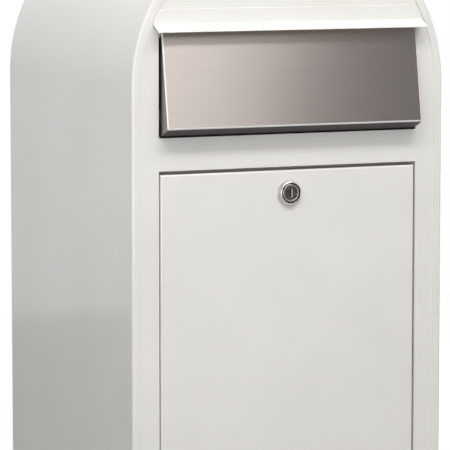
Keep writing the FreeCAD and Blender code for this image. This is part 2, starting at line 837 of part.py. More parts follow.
door_half = doorway_half - size.door_side_gap
door_top = doorway_top - size.door_top_gap
door_bottom = size.sill_height + (size.knuckle_radius + size.knuckle_clear) * 2
door_back = plate_front + size.door_depth
seal_front = door_back + size.stop_gap
lip_front = seal_front + size.seal_thickness
lip_back = lip_front + size.frame_sheet
web_edge = doorway_half + size.frame_set
lip_edge = doorway_half - size.rebate_lip
header_low = doorway_top + size.frame_set
header_high = header_low + size.frame_sheet
header_lip = doorway_top - size.rebate_lip + size.frame_set * 2
jamb_low = size.sill_height + size.jamb_start


def make_door_jamb():
    """Right-hand door jamb: a leg behind the plate, a web and a lip that carries the seal."""
    body = new_body("door_jamb_right")
    web_out = web_edge + size.frame_sheet
    leg_end = web_out + size.frame_leg
    leg_back = plate_back + size.frame_sheet
    outline = [
        (leg_end, plate_back),
        (leg_end, leg_back),
        (web_out, leg_back),
        (web_out, lip_back),
        (lip_edge, lip_back),
        (lip_edge, lip_front),
        (web_edge, lip_front),
        (web_edge, plate_back),
    ]
    add_block(body, "jamb_outline", "XY_Plane", jamb_low, header_low, outline)
    notch = rectangle(lip_edge, web_out, lip_front, lip_back)
    cut_block(body, "jamb_notch", "XY_Plane", header_lip, header_low, notch)
    return body


def make_door_header():
    """Header over the door: the lock's cam turns up behind its lip."""
    body = new_body("door_header")
    half = web_edge + size.frame_sheet + size.frame_leg
    leg_top = header_high + size.header_leg
    leg_back = plate_back + size.frame_sheet
    profile = [
        (lip_front, header_low),
        (lip_front, header_lip),
        (lip_back, header_lip),
        (lip_back, header_high),
        (leg_back, header_high),
        (leg_back, leg_top),
        (plate_back, leg_top),
        (plate_back, header_low),
    ]
    add_block(body, "header_profile", "YZ_Plane", -half, half, profile)
    return body


def make_door_sill():
    """Sill under the door: its flange carries the frame's hinge leaves."""
    body = new_body("door_sill")
    half = doorway_half - size.sill_inset
    top = size.sill_height
    under = top - size.frame_sheet
    rear = plate_back + size.sill_depth
    rear_inner = rear - size.frame_sheet
    leg_back = plate_back + size.frame_sheet
    leg_low = size.base_flange + size.panel_gap
    profile = [
        (leg_back, leg_low),
        (leg_back, under),
        (rear_inner, under),
        (rear_inner, top - size.sill_lip),
        (rear, top - size.sill_lip),
        (rear, top),
        (plate_back, top),
        (plate_back, leg_low),
    ]
    add_block(body, "sill_profile", "YZ_Plane", -half, half, profile)
    return body


def make_door_seal():
    """Foam strips on the jambs' and header's lips, which the closed door stops against."""
    low = (lip_edge + size.frame_set, seal_front, jamb_low)
    high = (lip_edge + size.frame_set + size.seal_width, lip_front, header_lip)
    right = block("seal_right", low, high)
    across = lip_edge + size.frame_set + size.seal_width
    top_low = (-across, seal_front, header_lip)
    top = block("seal_top", top_low, (across, lip_front, header_lip + size.seal_width))
    return group("door_seal", [right, mirrored("seal_left", right), top])


# ---------------------------------------------------------------- door

lock_z = door_top - size.lock_drop


def make_door_panel():
    """Door folded from one sheet into a shallow tray with lips, pierced for the lock."""
    body = new_body("door_panel")
    outline = rectangle(-door_half, door_half, door_bottom, door_top)
    add_block(body, "door_outside", "XZ_Plane", plate_front, door_back, outline)
    round_edges(body, "door_corners", size.corner_radius, lambda edge: runs_along(edge, "Y"))
    round_edges(body, "door_bends", size.door_bend, lambda edge: lies_at(edge, "Y", plate_front))
    inner = plate_front + size.door_sheet
    wall = size.door_sheet
    mouth = wall + size.door_lip
    opening = rectangle(
        -(door_half - mouth), door_half - mouth, door_bottom + mouth, door_top - mouth
    )
    cut_block(body, "door_mouth", "XZ_Plane", inner, door_back, opening)
    hollow = rectangle(-(door_half - wall), door_half - wall, door_bottom + wall, door_top - wall)
    cut_block(body, "door_inside", "XZ_Plane", inner, door_back - wall, hollow)
    centre = [(Size(0), lock_z)]
    cut_holes(body, "door_lock_hole", "XZ_Plane", plate_front, inner, centre, barrel_hole)
    return body


# ---------------------------------------------------------------- door hinges and checks

pin_y = plate_front - size.knuckle_set
pin_z = size.sill_height + size.knuckle_radius + size.knuckle_clear
clear_of_knuckles = pin_y + size.knuckle_radius + size.knuckle_clear
hinge_low = size.hinge_centre - size.hinge_length / 2
hinge_high = size.hinge_centre + size.hinge_length / 2
door_knuckle = (
    size.hinge_centre - size.knuckle_length / 2,
    size.hinge_centre + size.knuckle_length / 2,
)
leaf_back = pin_y + size.leaf_depth


def finish_knuckles(body, spans):
    """Adds the knuckles of one leaf and bores them for the pin."""
    for number, (start, end) in enumerate(spans):
        name = f"{body.Name}_knuckle_{number}"
        add_rod(body, name, "YZ_Plane", start, end, [(pin_y, pin_z)], size.knuckle_radius)
    bore = size.pin_radius + size.running_gap
    name = body.Name + "_bore"
    cut_holes(body, name, "YZ_Plane", hinge_low, hinge_high, [(pin_y, pin_z)], bore)


def make_door_leaf():
    """Right-hand hinge leaf under the door's lower fold, with the middle knuckle."""
    body = new_body("door_leaf_right")
    start, end = door_knuckle
    outline = [
        (end, pin_y),
        (end, clear_of_knuckles),
        (hinge_high, clear_of_knuckles),
        (hinge_high, leaf_back),
        (hinge_low, leaf_back),
        (hinge_low, clear_of_knuckles),
        (start, clear_of_knuckles),
        (start, pin_y),
    ]
    low = door_bottom - size.leaf_sheet
    add_block(body, "door_leaf_sheet", "XY_Plane", low, door_bottom, outline)
    finish_knuckles(body, [door_knuckle])
    return body


def make_frame_leaf():
    """Right-hand hinge leaf on the sill, with the two outer knuckles."""
    body = new_body("frame_leaf_right")
    start = door_knuckle[0] - size.knuckle_gap
    end = door_knuckle[1] + size.knuckle_gap
    outline = [
        (start, pin_y),
        (start, clear_of_knuckles),
        (end, clear_of_knuckles),
        (end, pin_y),
        (hinge_high, pin_y),
        (hinge_high, leaf_back),
        (hinge_low, leaf_back),
        (hinge_low, pin_y),
    ]
    high = size.sill_height + size.leaf_sheet
    add_block(body, "frame_leaf_sheet", "XY_Plane", size.sill_height, high, outline)
    finish_knuckles(body, [(hinge_low, start), (end, hinge_high)])
    return body


def make_hinge_pin():
    """Headed pin through one door hinge."""
    length = size.hinge_length + size.pin_over * 2
    head = size.pin_over
    zero = Size(0)
    profile = [
        (size.pin_head, zero),
        (size.pin_head, head),
        (size.pin_radius, head),
        (size.pin_radius, length),
        (zero, length),
        (zero, zero),
    ]
    start = hinge_low - size.pin_over
    return turned_body("hinge_pin_right", profile, (start, pin_y, pin_z), ALONG_X)


def make_door_check():
    """Right-hand lug on the door's side; its stud meets the back of the plate when the door is open."""
    body = new_body("door_check_right")
    stud_y = pin_y + size.check_stud_back
    stud_z = pin_z - size.knuckle_set - size.plate_sheet - size.check_stud_radius - size.stop_gap
    half = size.check_half
    outer = door_half + size.check_sheet
    top = door_bottom + size.check_top
    outline = rectangle(stud_y - half, stud_y + half, stud_z - half, top)
    add_block(body, "check_lug", "YZ_Plane", door_half, outer, outline)

    def lug_corner(edge):
        return runs_along(edge, "X")

    round_edges(body, "check_corners", half / 2, lug_corner)
    tip = outer + size.check_stud_length
    add_rod(body, "check_stud", "YZ_Plane", outer, tip, [(stud_y, stud_z)], size.check_stud_radius)
    return body


# ---------------------------------------------------------------- lock
# Along the lock's own axis, zero is the door's front face and plus is towards the user.

lock_at = (Size(0), plate_front, lock_z)
barrel_radius = size.core_radius + size.running_gap + size.barrel_wall
face_radius = size.core_radius + size.face_lip
collar_radius = face_radius + size.running_gap + size.collar_wall
well_radius = collar_radius + size.well_width
crown_radius = well_radius + size.bezel_crown
bezel_radius = crown_radius + size.bezel_slope
skin_back = -size.door_sheet
doubler_back = skin_back - size.lock_plate_sheet
washer_back = doubler_back - size.washer_thickness
nut_back = washer_back - size.lock_nut_thickness
bezel_shoulder = size.gasket + size.bezel_floor
face_back = size.face_reach - size.face_thickness
face_seat = face_back - size.running_gap
barrel_end = -size.barrel_back
cam_front = barrel_end - size.cam_gap
cam_back = cam_front - size.cam_sheet
cam_washer_back = cam_back - size.washer_thickness
barrel_hole = barrel_radius + size.hole_gap


def lock_y(along):
    return plate_front - along


def make_lock_plate():
    """Doubler plate behind the door's sheet, around the lock."""
    body = new_body("lock_plate")
    half = size.lock_plate_half
    outline = rectangle(-half, half, lock_z - half, lock_z + half)
    start, end = lock_y(skin_back), lock_y(doubler_back)
    add_block(body, "lock_plate_sheet", "XZ_Plane", start, end, outline)
    cut_holes(body, "lock_plate_hole", "XZ_Plane", start, end, [(Size(0), lock_z)], barrel_hole)
    return body


def make_lock_gasket():
    profile = ring(barrel_hole, bezel_radius, Size(0), size.gasket)
    return turned_body("lock_gasket", profile, lock_at, FACING_FRONT)


def make_lock_bezel():
    """Domed chrome ring with a dark well inside it."""
    profile = [
        (bezel_radius, size.gasket),
        (bezel_radius, bezel_shoulder),
        (crown_radius, size.bezel_reach),
        (well_radius, size.bezel_reach),
        (well_radius, bezel_shoulder),
        (barrel_hole, bezel_shoulder),
        (barrel_hole, size.gasket),
    ]
    body = turned_body("lock_bezel", profile, lock_at, FACING_FRONT)
    front_y = lock_y(size.bezel_reach)
    round_edges(
        body, "bezel_dome", size.face_thickness / 2,
        lambda edge: lies_at(edge, "Y", front_y) and near(edge.BoundBox.XMax, crown_radius),
    )
    return body


def make_lock_housing():
    """Threaded barrel with a clamping head and the collar around the plug's face."""
    core_bore = size.core_radius + size.running_gap
    face_bore = face_radius + size.running_gap
    head_radius = well_radius - size.hole_gap
    head_top = bezel_shoulder + size.head_thickness
    profile = [
        (core_bore, barrel_end),
        (barrel_radius, barrel_end),
        (barrel_radius, bezel_shoulder),
        (head_radius, bezel_shoulder),
        (head_radius, head_top),
        (collar_radius, head_top),
        (collar_radius, size.collar_reach),
        (face_bore, size.collar_reach),
        (face_bore, face_seat),
        (core_bore, face_seat),
    ]
    return turned_body("lock_housing", profile, lock_at, FACING_FRONT)


def make_lock_washer():
    outer = barrel_radius + size.washer_width
    profile = ring(barrel_hole, outer, washer_back, doubler_back)
    return turned_body("lock_washer", profile, lock_at, FACING_FRONT)


def make_lock_nut():
    """Hexagonal nut that clamps the barrel from inside the door."""
    at = (Size(0), lock_y(nut_back), lock_z)
    thickness = size.lock_nut_thickness
    flats = (barrel_radius + size.lock_nut_wall) * 2
    blank = hexagon("lock_nut_blank", flats, thickness, at, FACING_FRONT)
    bore_radius = barrel_radius + size.running_gap
    bore = cylinder("lock_nut_bore", bore_radius, thickness, at, FACING_FRONT)
    return subtract("lock_nut", blank, bore)


def make_lock_plug():
    """Plug that the key turns: flanged face, core, square tang and tapped end."""
    zero = Size(0)
    tang_end = cam_back + size.running_gap
    profile = [
        (zero, cam_front),
        (size.core_radius, cam_front),
        (size.core_radius, face_back),
        (face_radius, face_back),
        (face_radius, size.face_reach),
        (zero, size.face_reach),
    ]
    body = turned_body("lock_plug", profile, lock_at, FACING_FRONT)
    half = size.tang / 2
    square = rectangle(-half, half, -half, half)
    add_block(body, "plug_tang", "XY_Plane", tang_end, cam_front, square)
    hole_end = cam_back + size.screw_length + size.stop_gap
    hole_radius = size.screw_radius + size.running_gap
    cut_holes(body, "plug_thread", "XY_Plane", tang_end, hole_end, [(zero, zero)], hole_radius)
    wide, tall = size.key_width / 2, size.key_height / 2
    keyway = rectangle(-wide, wide, -tall, tall)
    key_end = size.face_reach - size.key_depth
    cut_block(body, "plug_keyway", "XY_Plane", key_end, size.face_reach, keyway)
    return body


def make_key_shutter():
    """Spring shutter that closes the keyway behind the plug's face."""
    wide = size.key_width / 2 - size.running_gap
    tall = size.key_height / 2 - size.running_gap
    outside = size.face_reach - size.shutter_set
    low = (-wide, lock_y(outside), lock_z - tall)
    high = (wide, lock_y(outside - size.shutter_sheet), lock_z + tall)
    return block("key_shutter", low, high)


def make_lock_cam():
    """Cam on the plug's tang; it points sideways when open and turns up behind the header."""
    body = new_body("lock_cam")
    half = size.cam_width / 2
    outline = rectangle(-size.cam_tail, size.cam_length, lock_z - half, lock_z + half)
    start, end = lock_y(cam_front), lock_y(cam_back)
    add_block(body, "cam_outline", "XZ_Plane", start, end, outline)
    round_edges(body, "cam_corners", size.cam_corner, lambda edge: runs_along(edge, "Y"))
    hole = size.tang / 2 + size.running_gap
    square = rectangle(-hole, hole, lock_z - hole, lock_z + hole)
    cut_block(body, "cam_square", "XZ_Plane", start, end, square)
    return body


def make_cam_washer():
    bore = size.screw_radius + size.hole_gap
    profile = ring(bore, size.cam_washer_radius, cam_washer_back, cam_back)
    return turned_body("cam_washer", profile, lock_at, FACING_FRONT)


def make_cam_screw():
    """Screw that holds the cam on the plug."""
    zero = Size(0)
    head_back = cam_washer_back - size.screw_head_height
    tip = cam_back + size.screw_length
    profile = [
        (zero, head_back),
        (size.screw_head, head_back),
        (size.screw_head, cam_washer_back),
        (size.screw_radius, cam_washer_back),
        (size.screw_radius, tip),
        (zero, tip),
    ]
    body = turned_body("cam_screw", profile, lock_at, FACING_FRONT)
    half = size.screw_radius * 3 / 4
    drive = rectangle(-half, half, -half, half)
    end = head_back + size.screw_head_height / 2
    cut_block(body, "screw_drive", "XY_Plane", head_back, end, drive)
    return body


# ---------------------------------------------------------------- assembly

keep(make_body_shell(), make_back_panel(), make_base_panel(), make_front_plate(), make_slot_hood())
keep(make_insertion_flap(), make_flap_bushes(), make_flap_hinge_rod(), make_rod_clips())
keep_pair(make_flap_bracket())
keep(*make_bracket_fixings())
keep(make_flap_buffers(), make_mail_guide())
keep_pair(make_door_jamb())
keep(make_door_header(), make_door_sill(), make_door_seal(), make_door_panel())
keep_pair(make_door_leaf())
keep_pair(make_frame_leaf())
keep_pair(make_hinge_pin())
keep_pair(make_door_check())
keep(make_lock_plate(), make_lock_gasket(), make_lock_bezel(), make_lock_housing())
keep(make_lock_washer(), make_lock_nut(), make_lock_plug(), make_key_shutter())
keep(make_lock_cam(), make_cam_washer(), make_cam_screw())
doc.recompute()

for item in doc.Objects:
    if any(word in ("Invalid", "Error") for word in item.State):
        raise RuntimeError(f"{item.Name} failed: {item.State}")
for part in parts:
    if part.Shape.isNull() or not part.Shape.isValid():
        raise RuntimeError(f"{part.Label} has no valid shape")

os.makedirs("parts", exist_ok=True)
for part in parts:
    part.Shape.exportStep(f"parts/{part.Label}.step")
    solids = len(part.Shape.Solids)
    print(f"{part.Label}: {solids} solid(s), {part.Shape.Volume / 1000:.2f} cm3")
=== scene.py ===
"""Looks of an arch-topped parcel drop box: finishes, refined sheet-metal pieces, studio and camera."""
import json
import logging
import math
from dataclasses import dataclass
from enum import Enum, IntEnum

import bmesh
import bpy
from mathutils import Matrix, Vector


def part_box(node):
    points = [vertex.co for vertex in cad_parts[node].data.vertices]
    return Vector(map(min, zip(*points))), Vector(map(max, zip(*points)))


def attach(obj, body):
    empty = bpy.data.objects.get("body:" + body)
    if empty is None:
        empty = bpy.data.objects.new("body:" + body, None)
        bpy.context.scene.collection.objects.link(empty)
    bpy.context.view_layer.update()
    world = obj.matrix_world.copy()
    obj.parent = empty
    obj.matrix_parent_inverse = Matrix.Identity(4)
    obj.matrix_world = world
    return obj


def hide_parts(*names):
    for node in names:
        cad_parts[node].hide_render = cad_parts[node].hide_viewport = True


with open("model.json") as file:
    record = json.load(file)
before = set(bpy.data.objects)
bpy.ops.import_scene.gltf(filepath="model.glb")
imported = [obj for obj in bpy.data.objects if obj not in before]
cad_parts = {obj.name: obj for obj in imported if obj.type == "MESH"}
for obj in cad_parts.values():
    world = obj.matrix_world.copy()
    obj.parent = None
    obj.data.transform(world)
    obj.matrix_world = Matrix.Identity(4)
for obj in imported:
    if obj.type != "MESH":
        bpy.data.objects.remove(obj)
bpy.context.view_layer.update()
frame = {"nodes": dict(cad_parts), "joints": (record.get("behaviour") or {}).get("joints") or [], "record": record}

MM = 0.001
TOUCH = 0.01 * MM
NO_BEND = 0.01
LOG = logging.getLogger("parcel_drop_box")


# ---------------------------------------------------------------- colour and node helpers


def srgb(code: str) -> tuple[float, float, float, float]:
    """Turns an sRGB hex colour into linear red, green, blue and alpha.

    Args:
        code: Six hex digits, such as "E8E6E1".

    Returns:
        The linear colour with an alpha of one.
    """
    channels = [int(code[i:i + 2], 16) / 255 for i in (0, 2, 4)]
    linear = [c / 12.92 if c <= 0.04045 else ((c + 0.055) / 1.055) ** 2.4 for c in channels]
    return (*linear, 1.0)


def add_node(tree: bpy.types.NodeTree, kind: str, settings: dict, links: dict) -> bpy.types.Node:
    """Adds a shader node, sets its sockets and options, and links its inputs.

    Args:
        tree: The material's or world's node tree.
        kind: The node's class name.
        settings: Socket names or numbers, or option names, with their values.
        links: Socket names or numbers with the output that feeds each.

    Returns:
        The new node.
    """
    node = tree.nodes.new(kind)
    for key, value in settings.items():
        if isinstance(key, str) and key not in node.inputs:
            setattr(node, key, value)
    for key, value in settings.items():
        if isinstance(key, int) or key in node.inputs:
            node.inputs[key].default_value = value
    for key, source in links.items():
        tree.links.new(source, node.inputs[key])
    return node


@dataclass(frozen=True)
class Finish:
    """What every finish shares: a name and an empty node tree with a Principled shader."""

    name: str

    def start(self, **shader: object) -> tuple[bpy.types.Material, bpy.types.Node, bpy.types.Node]:
        """Makes the material.

        Args:
            **shader: Values for the Principled shader's own sockets, with _ for each space.

        Returns:
            The material, its shader node and its texture coordinate node.
        """
        material = bpy.data.materials.new(self.name)
        material.use_nodes = True
        tree = material.node_tree
        tree.nodes.clear()
        settings = {key.replace("_", " "): value for key, value in shader.items()}
        principled = add_node(tree, "ShaderNodeBsdfPrincipled", settings, {})
        add_node(tree, "ShaderNodeOutputMaterial", {}, {"Surface": principled.outputs["BSDF"]})
        place = add_node(tree, "ShaderNodeTexCoord", {}, {})
        return material, principled, place


def noise(tree: bpy.types.NodeTree, place: bpy.types.Node, feature: float, detail: float = 2.0,
          stretch: tuple[float, float, float] = (1.0, 1.0, 1.0)) -> bpy.types.NodeSocket:
    """Adds a noise pattern whose features have a real size.

    Args:
        tree: The material's node tree.
        place: The texture coordinate node.
        feature: Width of one feature, in metres.
        detail: Octaves of finer detail.
        stretch: How many times longer a feature is along each axis.

    Returns:
        The pattern's value, from 0 to 1.
    """
    scale = tuple(1.0 / (feature * s) for s in stretch)
    mapped = add_node(tree, "ShaderNodeMapping", {"Scale": scale}, {"Vector": place.outputs["Object"]})
    pattern = add_node(tree, "ShaderNodeTexNoise", {"Scale": 1.0, "Detail": detail},
                       {"Vector": mapped.outputs["Vector"]})
    return pattern.outputs["Fac"]


def ranged(tree: bpy.types.NodeTree, value: bpy.types.NodeSocket, low: float,
           high: float) -> bpy.types.NodeSocket:
    """Maps a pattern's usual spread, 0.3 to 0.7, onto a range.

    Args:
        tree: The material's node tree.
        value: The pattern.
        low: Result at the pattern's low end.
        high: Result at its high end.

    Returns:
        The mapped value.
    """
    node = add_node(tree, "ShaderNodeMapRange",
                    {"From Min": 0.3, "From Max": 0.7, "To Min": low, "To Max": high},
                    {"Value": value})
    return node.outputs["Result"]


def two_tones(tree: bpy.types.NodeTree, value: bpy.types.NodeSocket, first: str,
              second: str) -> bpy.types.NodeSocket:
    """Mixes two colours by a pattern.

    Args:
        tree: The material's node tree.
        value: The pattern, 0 for the first colour and 1 for the second.
        first: Hex colour.
        second: Hex colour.

    Returns:
        The mixed colour.
    """
    node = add_node(tree, "ShaderNodeMix", {"data_type": "RGBA", 6: srgb(first), 7: srgb(second)},
                    {0: value})
    return node.outputs[2]


def bump(tree: bpy.types.NodeTree, shader: bpy.types.Node, height: bpy.types.NodeSocket,
         depth: float) -> None:
    """Presses a pattern into the surface.

    Args:
        tree: The material's node tree.
        shader: The Principled shader.
        height: The pattern.
        depth: Height of the relief, in metres.
    """
    node = add_node(tree, "ShaderNodeBump", {"Distance": depth}, {"Height": height})
    tree.links.new(node.outputs["Normal"], shader.inputs["Normal"])


# ---------------------------------------------------------------- finishes


@dataclass(frozen=True)
class PowderCoat(Finish):
    """Baked polyester powder on steel: a satin skin with a faint orange peel."""

    light: str = "EDEBE7"
    shade: str = "E9E7E2"
    peel: float = 3.2 * MM
    grit: float = 0.9 * MM

    def build(self) -> bpy.types.Material:
        """Returns the material."""
        material, shader, place = self.start(Roughness=0.4, IOR=1.5, Coat_Weight=0.7,
                                             Coat_Roughness=0.1)
        tree = material.node_tree
        # The film's thickness drifts slowly, so its tone does too.
        drift = ranged(tree, noise(tree, place, 90 * MM, 3.0), 0.0, 1.0)
        tree.links.new(two_tones(tree, drift, self.light, self.shade), shader.inputs["Base Color"])
        # Peel ripples as wide as a few grains of powder; the grit is drawn coarse enough to show.
        peel = noise(tree, place, self.peel, 2.0)
        grit = noise(tree, place, self.grit, 1.0)
        tree.links.new(ranged(tree, grit, 0.36, 0.44), shader.inputs["Roughness"])
        relief = add_node(tree, "ShaderNodeMath", {"operation": "MULTIPLY_ADD", 1: 0.25},
                          {0: grit, 2: peel})
        bump(tree, shader, relief.outputs["Value"], 0.012 * MM)
        return material


@dataclass(frozen=True)
class BrushedStainless(Finish):
    """Austenitic stainless sheet, belt-brushed across: long fine scratches that smear highlights."""

    light: str = "D4CAC4"
    shade: str = "CAC0BA"
    scratch: float = 0.5 * MM
    length: float = 90.0

    def build(self) -> bpy.types.Material:
        """Returns the material."""
        material, shader, place = self.start(Metallic=1.0, Roughness=0.37, Anisotropic=1.0)
        tree = material.node_tree
        # The belt's scratches are finer than this; they are drawn as coarse as the eye can part them.
        scratches = noise(tree, place, self.scratch, 3.0, (self.length, 1.0, 1.0))
        clouds = noise(tree, place, 40 * MM, 2.0, (3.0, 1.0, 1.0))
        blend = add_node(tree, "ShaderNodeMath", {"operation": "MULTIPLY_ADD", 1: 0.35},
                         {0: clouds, 2: scratches})
        tone = add_node(tree, "ShaderNodeMapRange", {"From Min": 0.42, "From Max": 0.92},
                        {"Value": blend.outputs["Value"]})
        tree.links.new(two_tones(tree, tone.outputs["Result"], self.shade, self.light),
                       shader.inputs["Base Color"])
        tree.links.new(ranged(tree, scratches, 0.35, 0.39), shader.inputs["Roughness"])
        # Highlights smear square to the scratches.
        smear = add_node(tree, "ShaderNodeCombineXYZ", {"Z": 1.0}, {})
        tree.links.new(smear.outputs["Vector"], shader.inputs["Tangent"])
        bump(tree, shader, scratches, 0.001 * MM)
        return material


@dataclass(frozen=True)
class PlainMetal(Finish):
    """A plated or drawn metal: zinc, nickel, chrome or wire, told apart by tone and polish."""

    light: str = "C9CBCD"
    shade: str = "AEB1B4"
    polish: float = 0.3
    spread: float = 0.08
    mottle: float = 6 * MM
    metallic: float = 1.0

    def build(self) -> bpy.types.Material:
        """Returns the material."""
        material, shader, place = self.start(Metallic=self.metallic, Roughness=self.polish)
        tree = material.node_tree
        # Plating crystals and handling marks vary the tone and the polish together.
        marks = noise(tree, place, self.mottle, 4.0)
        tree.links.new(two_tones(tree, ranged(tree, marks, 0.0, 1.0), self.shade, self.light),
                       shader.inputs["Base Color"])
        tree.links.new(ranged(tree, marks, self.polish, self.polish + self.spread),
                       shader.inputs["Roughness"])
        bump(tree, shader, noise(tree, place, self.mottle / 8, 2.0), 0.002 * MM)
        return material


@dataclass(frozen=True)
class Moulded(Finish):
    """A moulded polymer: nylon, rubber or foam, with its mould's or its cells' texture."""

    light: str = "2B2A2A"
    shade: str = "1E1D1D"
    rough: float = 0.6
    texture: float = 0.8 * MM
    relief: float = 0.03 * MM

    def build(self) -> bpy.types.Material:
        """Returns the material."""
        material, shader, place = self.start(Roughness=self.rough, IOR=1.5)
        tree = material.node_tree
        pores = noise(tree, place, self.texture, 3.0)
        tree.links.new(two_tones(tree, ranged(tree, pores, 0.0, 1.0), self.shade, self.light),
                       shader.inputs["Base Color"])
        tree.links.new(ranged(tree, pores, self.rough, self.rough + 0.12), shader.inputs["Roughness"])
        bump(tree, shader, pores, self.relief)
        return material


@dataclass(frozen=True)
class StudioPaper(Finish):
    """Seamless backdrop paper that looks white and sends little light back up at the box."""

    tone: str = "A6A6A6"
    shade: str = "A2A2A2"
    bounce: str = "7A7876"
    lift: float = 0.68

    def build(self) -> bpy.types.Material:
        """Returns the material."""
        material, shader, place = self.start(Roughness=0.9, IOR=1.4, Emission_Color=srgb("FFFFFF"))
        tree = material.node_tree
        fibres = noise(tree, place, 4 * MM, 2.0)
        sight = add_node(tree, "ShaderNodeLightPath", {}, {})
        pale = two_tones(tree, fibres, self.shade, self.tone)
        # Seen directly its own glow makes it white; the light it returns to the box is a grey's.
        mixed = add_node(tree, "ShaderNodeMix", {"data_type": "RGBA", 6: srgb(self.bounce)},
                         {0: sight.outputs["Is Camera Ray"], 7: pale})
        tree.links.new(mixed.outputs[2], shader.inputs["Base Color"])
        glow = add_node(tree, "ShaderNodeMath", {"operation": "MULTIPLY", 1: self.lift},
                        {0: sight.outputs["Is Camera Ray"]})
        tree.links.new(glow.outputs["Value"], shader.inputs["Emission Strength"])
        return material


class Palette:
    """All finishes of the box, by the record's material slot."""

    def __init__(self) -> None:
        """Builds each finish once."""
        self.by_slot = {
            "white_powder_coat": PowderCoat("powder_coat_traffic_white").build(),
            "stainless_brushed": BrushedStainless("stainless_belt_brushed").build(),
            "stainless_plain": PlainMetal("stainless_drawn_wire", "C4C2BF", "A5A3A0", 0.25).build(),
            "zinc_plated_steel": PlainMetal("zinc_plate_bright").build(),
            "nylon": Moulded("nylon_natural", "DAD7CC", "CFCBBE", 0.45).build(),
            "black_rubber": Moulded("rubber_moulded_black").build(),
            "foam_seal": Moulded("foam_closed_cell", "B8B5B0", "A6A39F", 0.85, 1.2 * MM,
                                 0.12 * MM).build(),
            "chrome": PlainMetal("chrome_plate_polished", "F4F1ED", "E9E5E0", 0.1, 0.05,
                                 metallic=0.55).build(),
            "nickel_plated": PlainMetal("nickel_plate_satin", "E6E1DC", "D3CDC7", 0.16, 0.08,
                                        metallic=0.8).build(),
            "dark_plug": PlainMetal("black_nickel_plug", "8E8683", "645E5C", 0.3, 0.12, 2 * MM).build(),
        }
        # Painted shade: a near-black finish for the bezel's well, the barrel head inside it and the key shutter in
        # the keyway.
        self.well = Moulded("well_painted_shade_black", "3A3230", "241F1E", 0.4).build()
        # Painted highlight: a near-white finish for the flap's bends and the right side of the keyway's mouth.
        self.fold = PlainMetal("stainless_painted_highlight_fold", "FFFFFF", "F4F1EE", 0.5, 0.1,
                               metallic=0.35).build()
        # Painted shade: a dark finish for the flap's bottom return.
        self.underside = PlainMetal("stainless_painted_shade_return", "46413F", "393432", 0.3).build()
        # Painted shade: a darker grey finish for the flap's side walls.
        self.side = PlainMetal("stainless_painted_shade_side", "9A9491", "8C8784", 0.35).build()
        self.paper = StudioPaper("backdrop_paper").build()

    def __getitem__(self, slot: str) -> bpy.types.Material:
        """Returns the finish of a slot."""
        return self.by_slot[slot]


# ---------------------------------------------------------------- sheet and lathe work


class Stand(Enum):
    """How a flat drawing stands in the row frame: where its X, Y and thickness point."""

    FRONT = Matrix(((1, 0, 0, 0), (0, 0, -1, 0), (0, 1, 0, 0), (0, 0, 0, 1)))
    SIDE = Matrix(((0, 0, 1, 0), (1, 0, 0, 0), (0, 1, 0, 0), (0, 0, 0, 1)))
    FLOOR = Matrix.Identity(4)


def wire(bm: bmesh.types.BMesh, corners: list[tuple[float, float]]) -> list[bmesh.types.BMEdge]:
    """Draws a closed outline of straight lines.

    Args:
        bm: The mesh to draw in.
        corners: The outline's corners in its own plane.

    Returns:
        The outline's edges.
    """
    verts = [bmesh.ops.create_vert(bm, co=(x, y, 0.0))["vert"][0] for x, y in corners]
    return [bm.edges.new((verts[i - 1], verts[i])) for i in range(len(verts))]


def round_hole(bm: bmesh.types.BMesh, centre: tuple[float, float], radius: float,
               segments: int = 32) -> list[bmesh.types.BMEdge]:
    """Draws a circle for a hole.

    Args:
        bm: The mesh to draw in.
        centre: The hole's centre in the outline's plane.
        radius: The hole's radius.
        segments: Sides of the circle.

    Returns:
        The circle's edges.
    """
    at = Matrix.Translation((centre[0], centre[1], 0.0))
    verts = bmesh.ops.create_circle(bm, segments=segments, radius=radius, matrix=at)["verts"]
    return [edge for edge in bm.edges if all(v in verts for v in edge.verts)]


def fill(bm: bmesh.types.BMesh, edges: list[bmesh.types.BMEdge],
         normal: tuple[float, float, float] = (0.0, 0.0, 1.0)) -> list[bmesh.types.BMFace]:
    """Fills an outline and leaves the outlines inside it open.

    Args:
        bm: The mesh that holds the outlines.
        edges: The edges of every outline.
        normal: The side that the filled faces look to.

    Returns:
        The filled faces.
    """
    made = bmesh.ops.triangle_fill(bm, edges=edges, normal=normal, use_beauty=True)["geom"]
    faces = [item for item in made if isinstance(item, bmesh.types.BMFace)]
    bmesh.ops.recalc_face_normals(bm, faces=faces)
    if faces and faces[0].normal.dot(Vector(normal)) < 0:
        bmesh.ops.reverse_faces(bm, faces=faces)
    return faces


def push(bm: bmesh.types.BMesh, faces: list[bmesh.types.BMFace],
         way: tuple[float, float, float]) -> list[bmesh.types.BMFace]:
    """Extrudes faces along a straight line.

    Args:
        bm: The mesh.
        faces: The faces to extrude.
        way: How far they go.

    Returns:
        The moved faces.
    """
    made = bmesh.ops.extrude_face_region(bm, geom=faces)["geom"]
    verts = [item for item in made if isinstance(item, bmesh.types.BMVert)]
    bmesh.ops.translate(bm, verts=verts, vec=way)
    return [item for item in made if isinstance(item, bmesh.types.BMFace)]


def round_off(bm: bmesh.types.BMesh, geometry: list, radius: float, segments: int = 4,
              affect: str = "EDGES") -> None:
    """Rounds edges or corners.

    Args:
        bm: The mesh.
        geometry: The edges, or the corner vertices.
        radius: How far from the corner the rounding starts.
        segments: Faces across the rounding.
        affect: EDGES or VERTICES.
    """
    bmesh.ops.bevel(bm, geom=geometry, offset=radius, offset_type="OFFSET", affect=affect,
                    segments=segments, profile=0.5, material=-1, clamp_overlap=True)


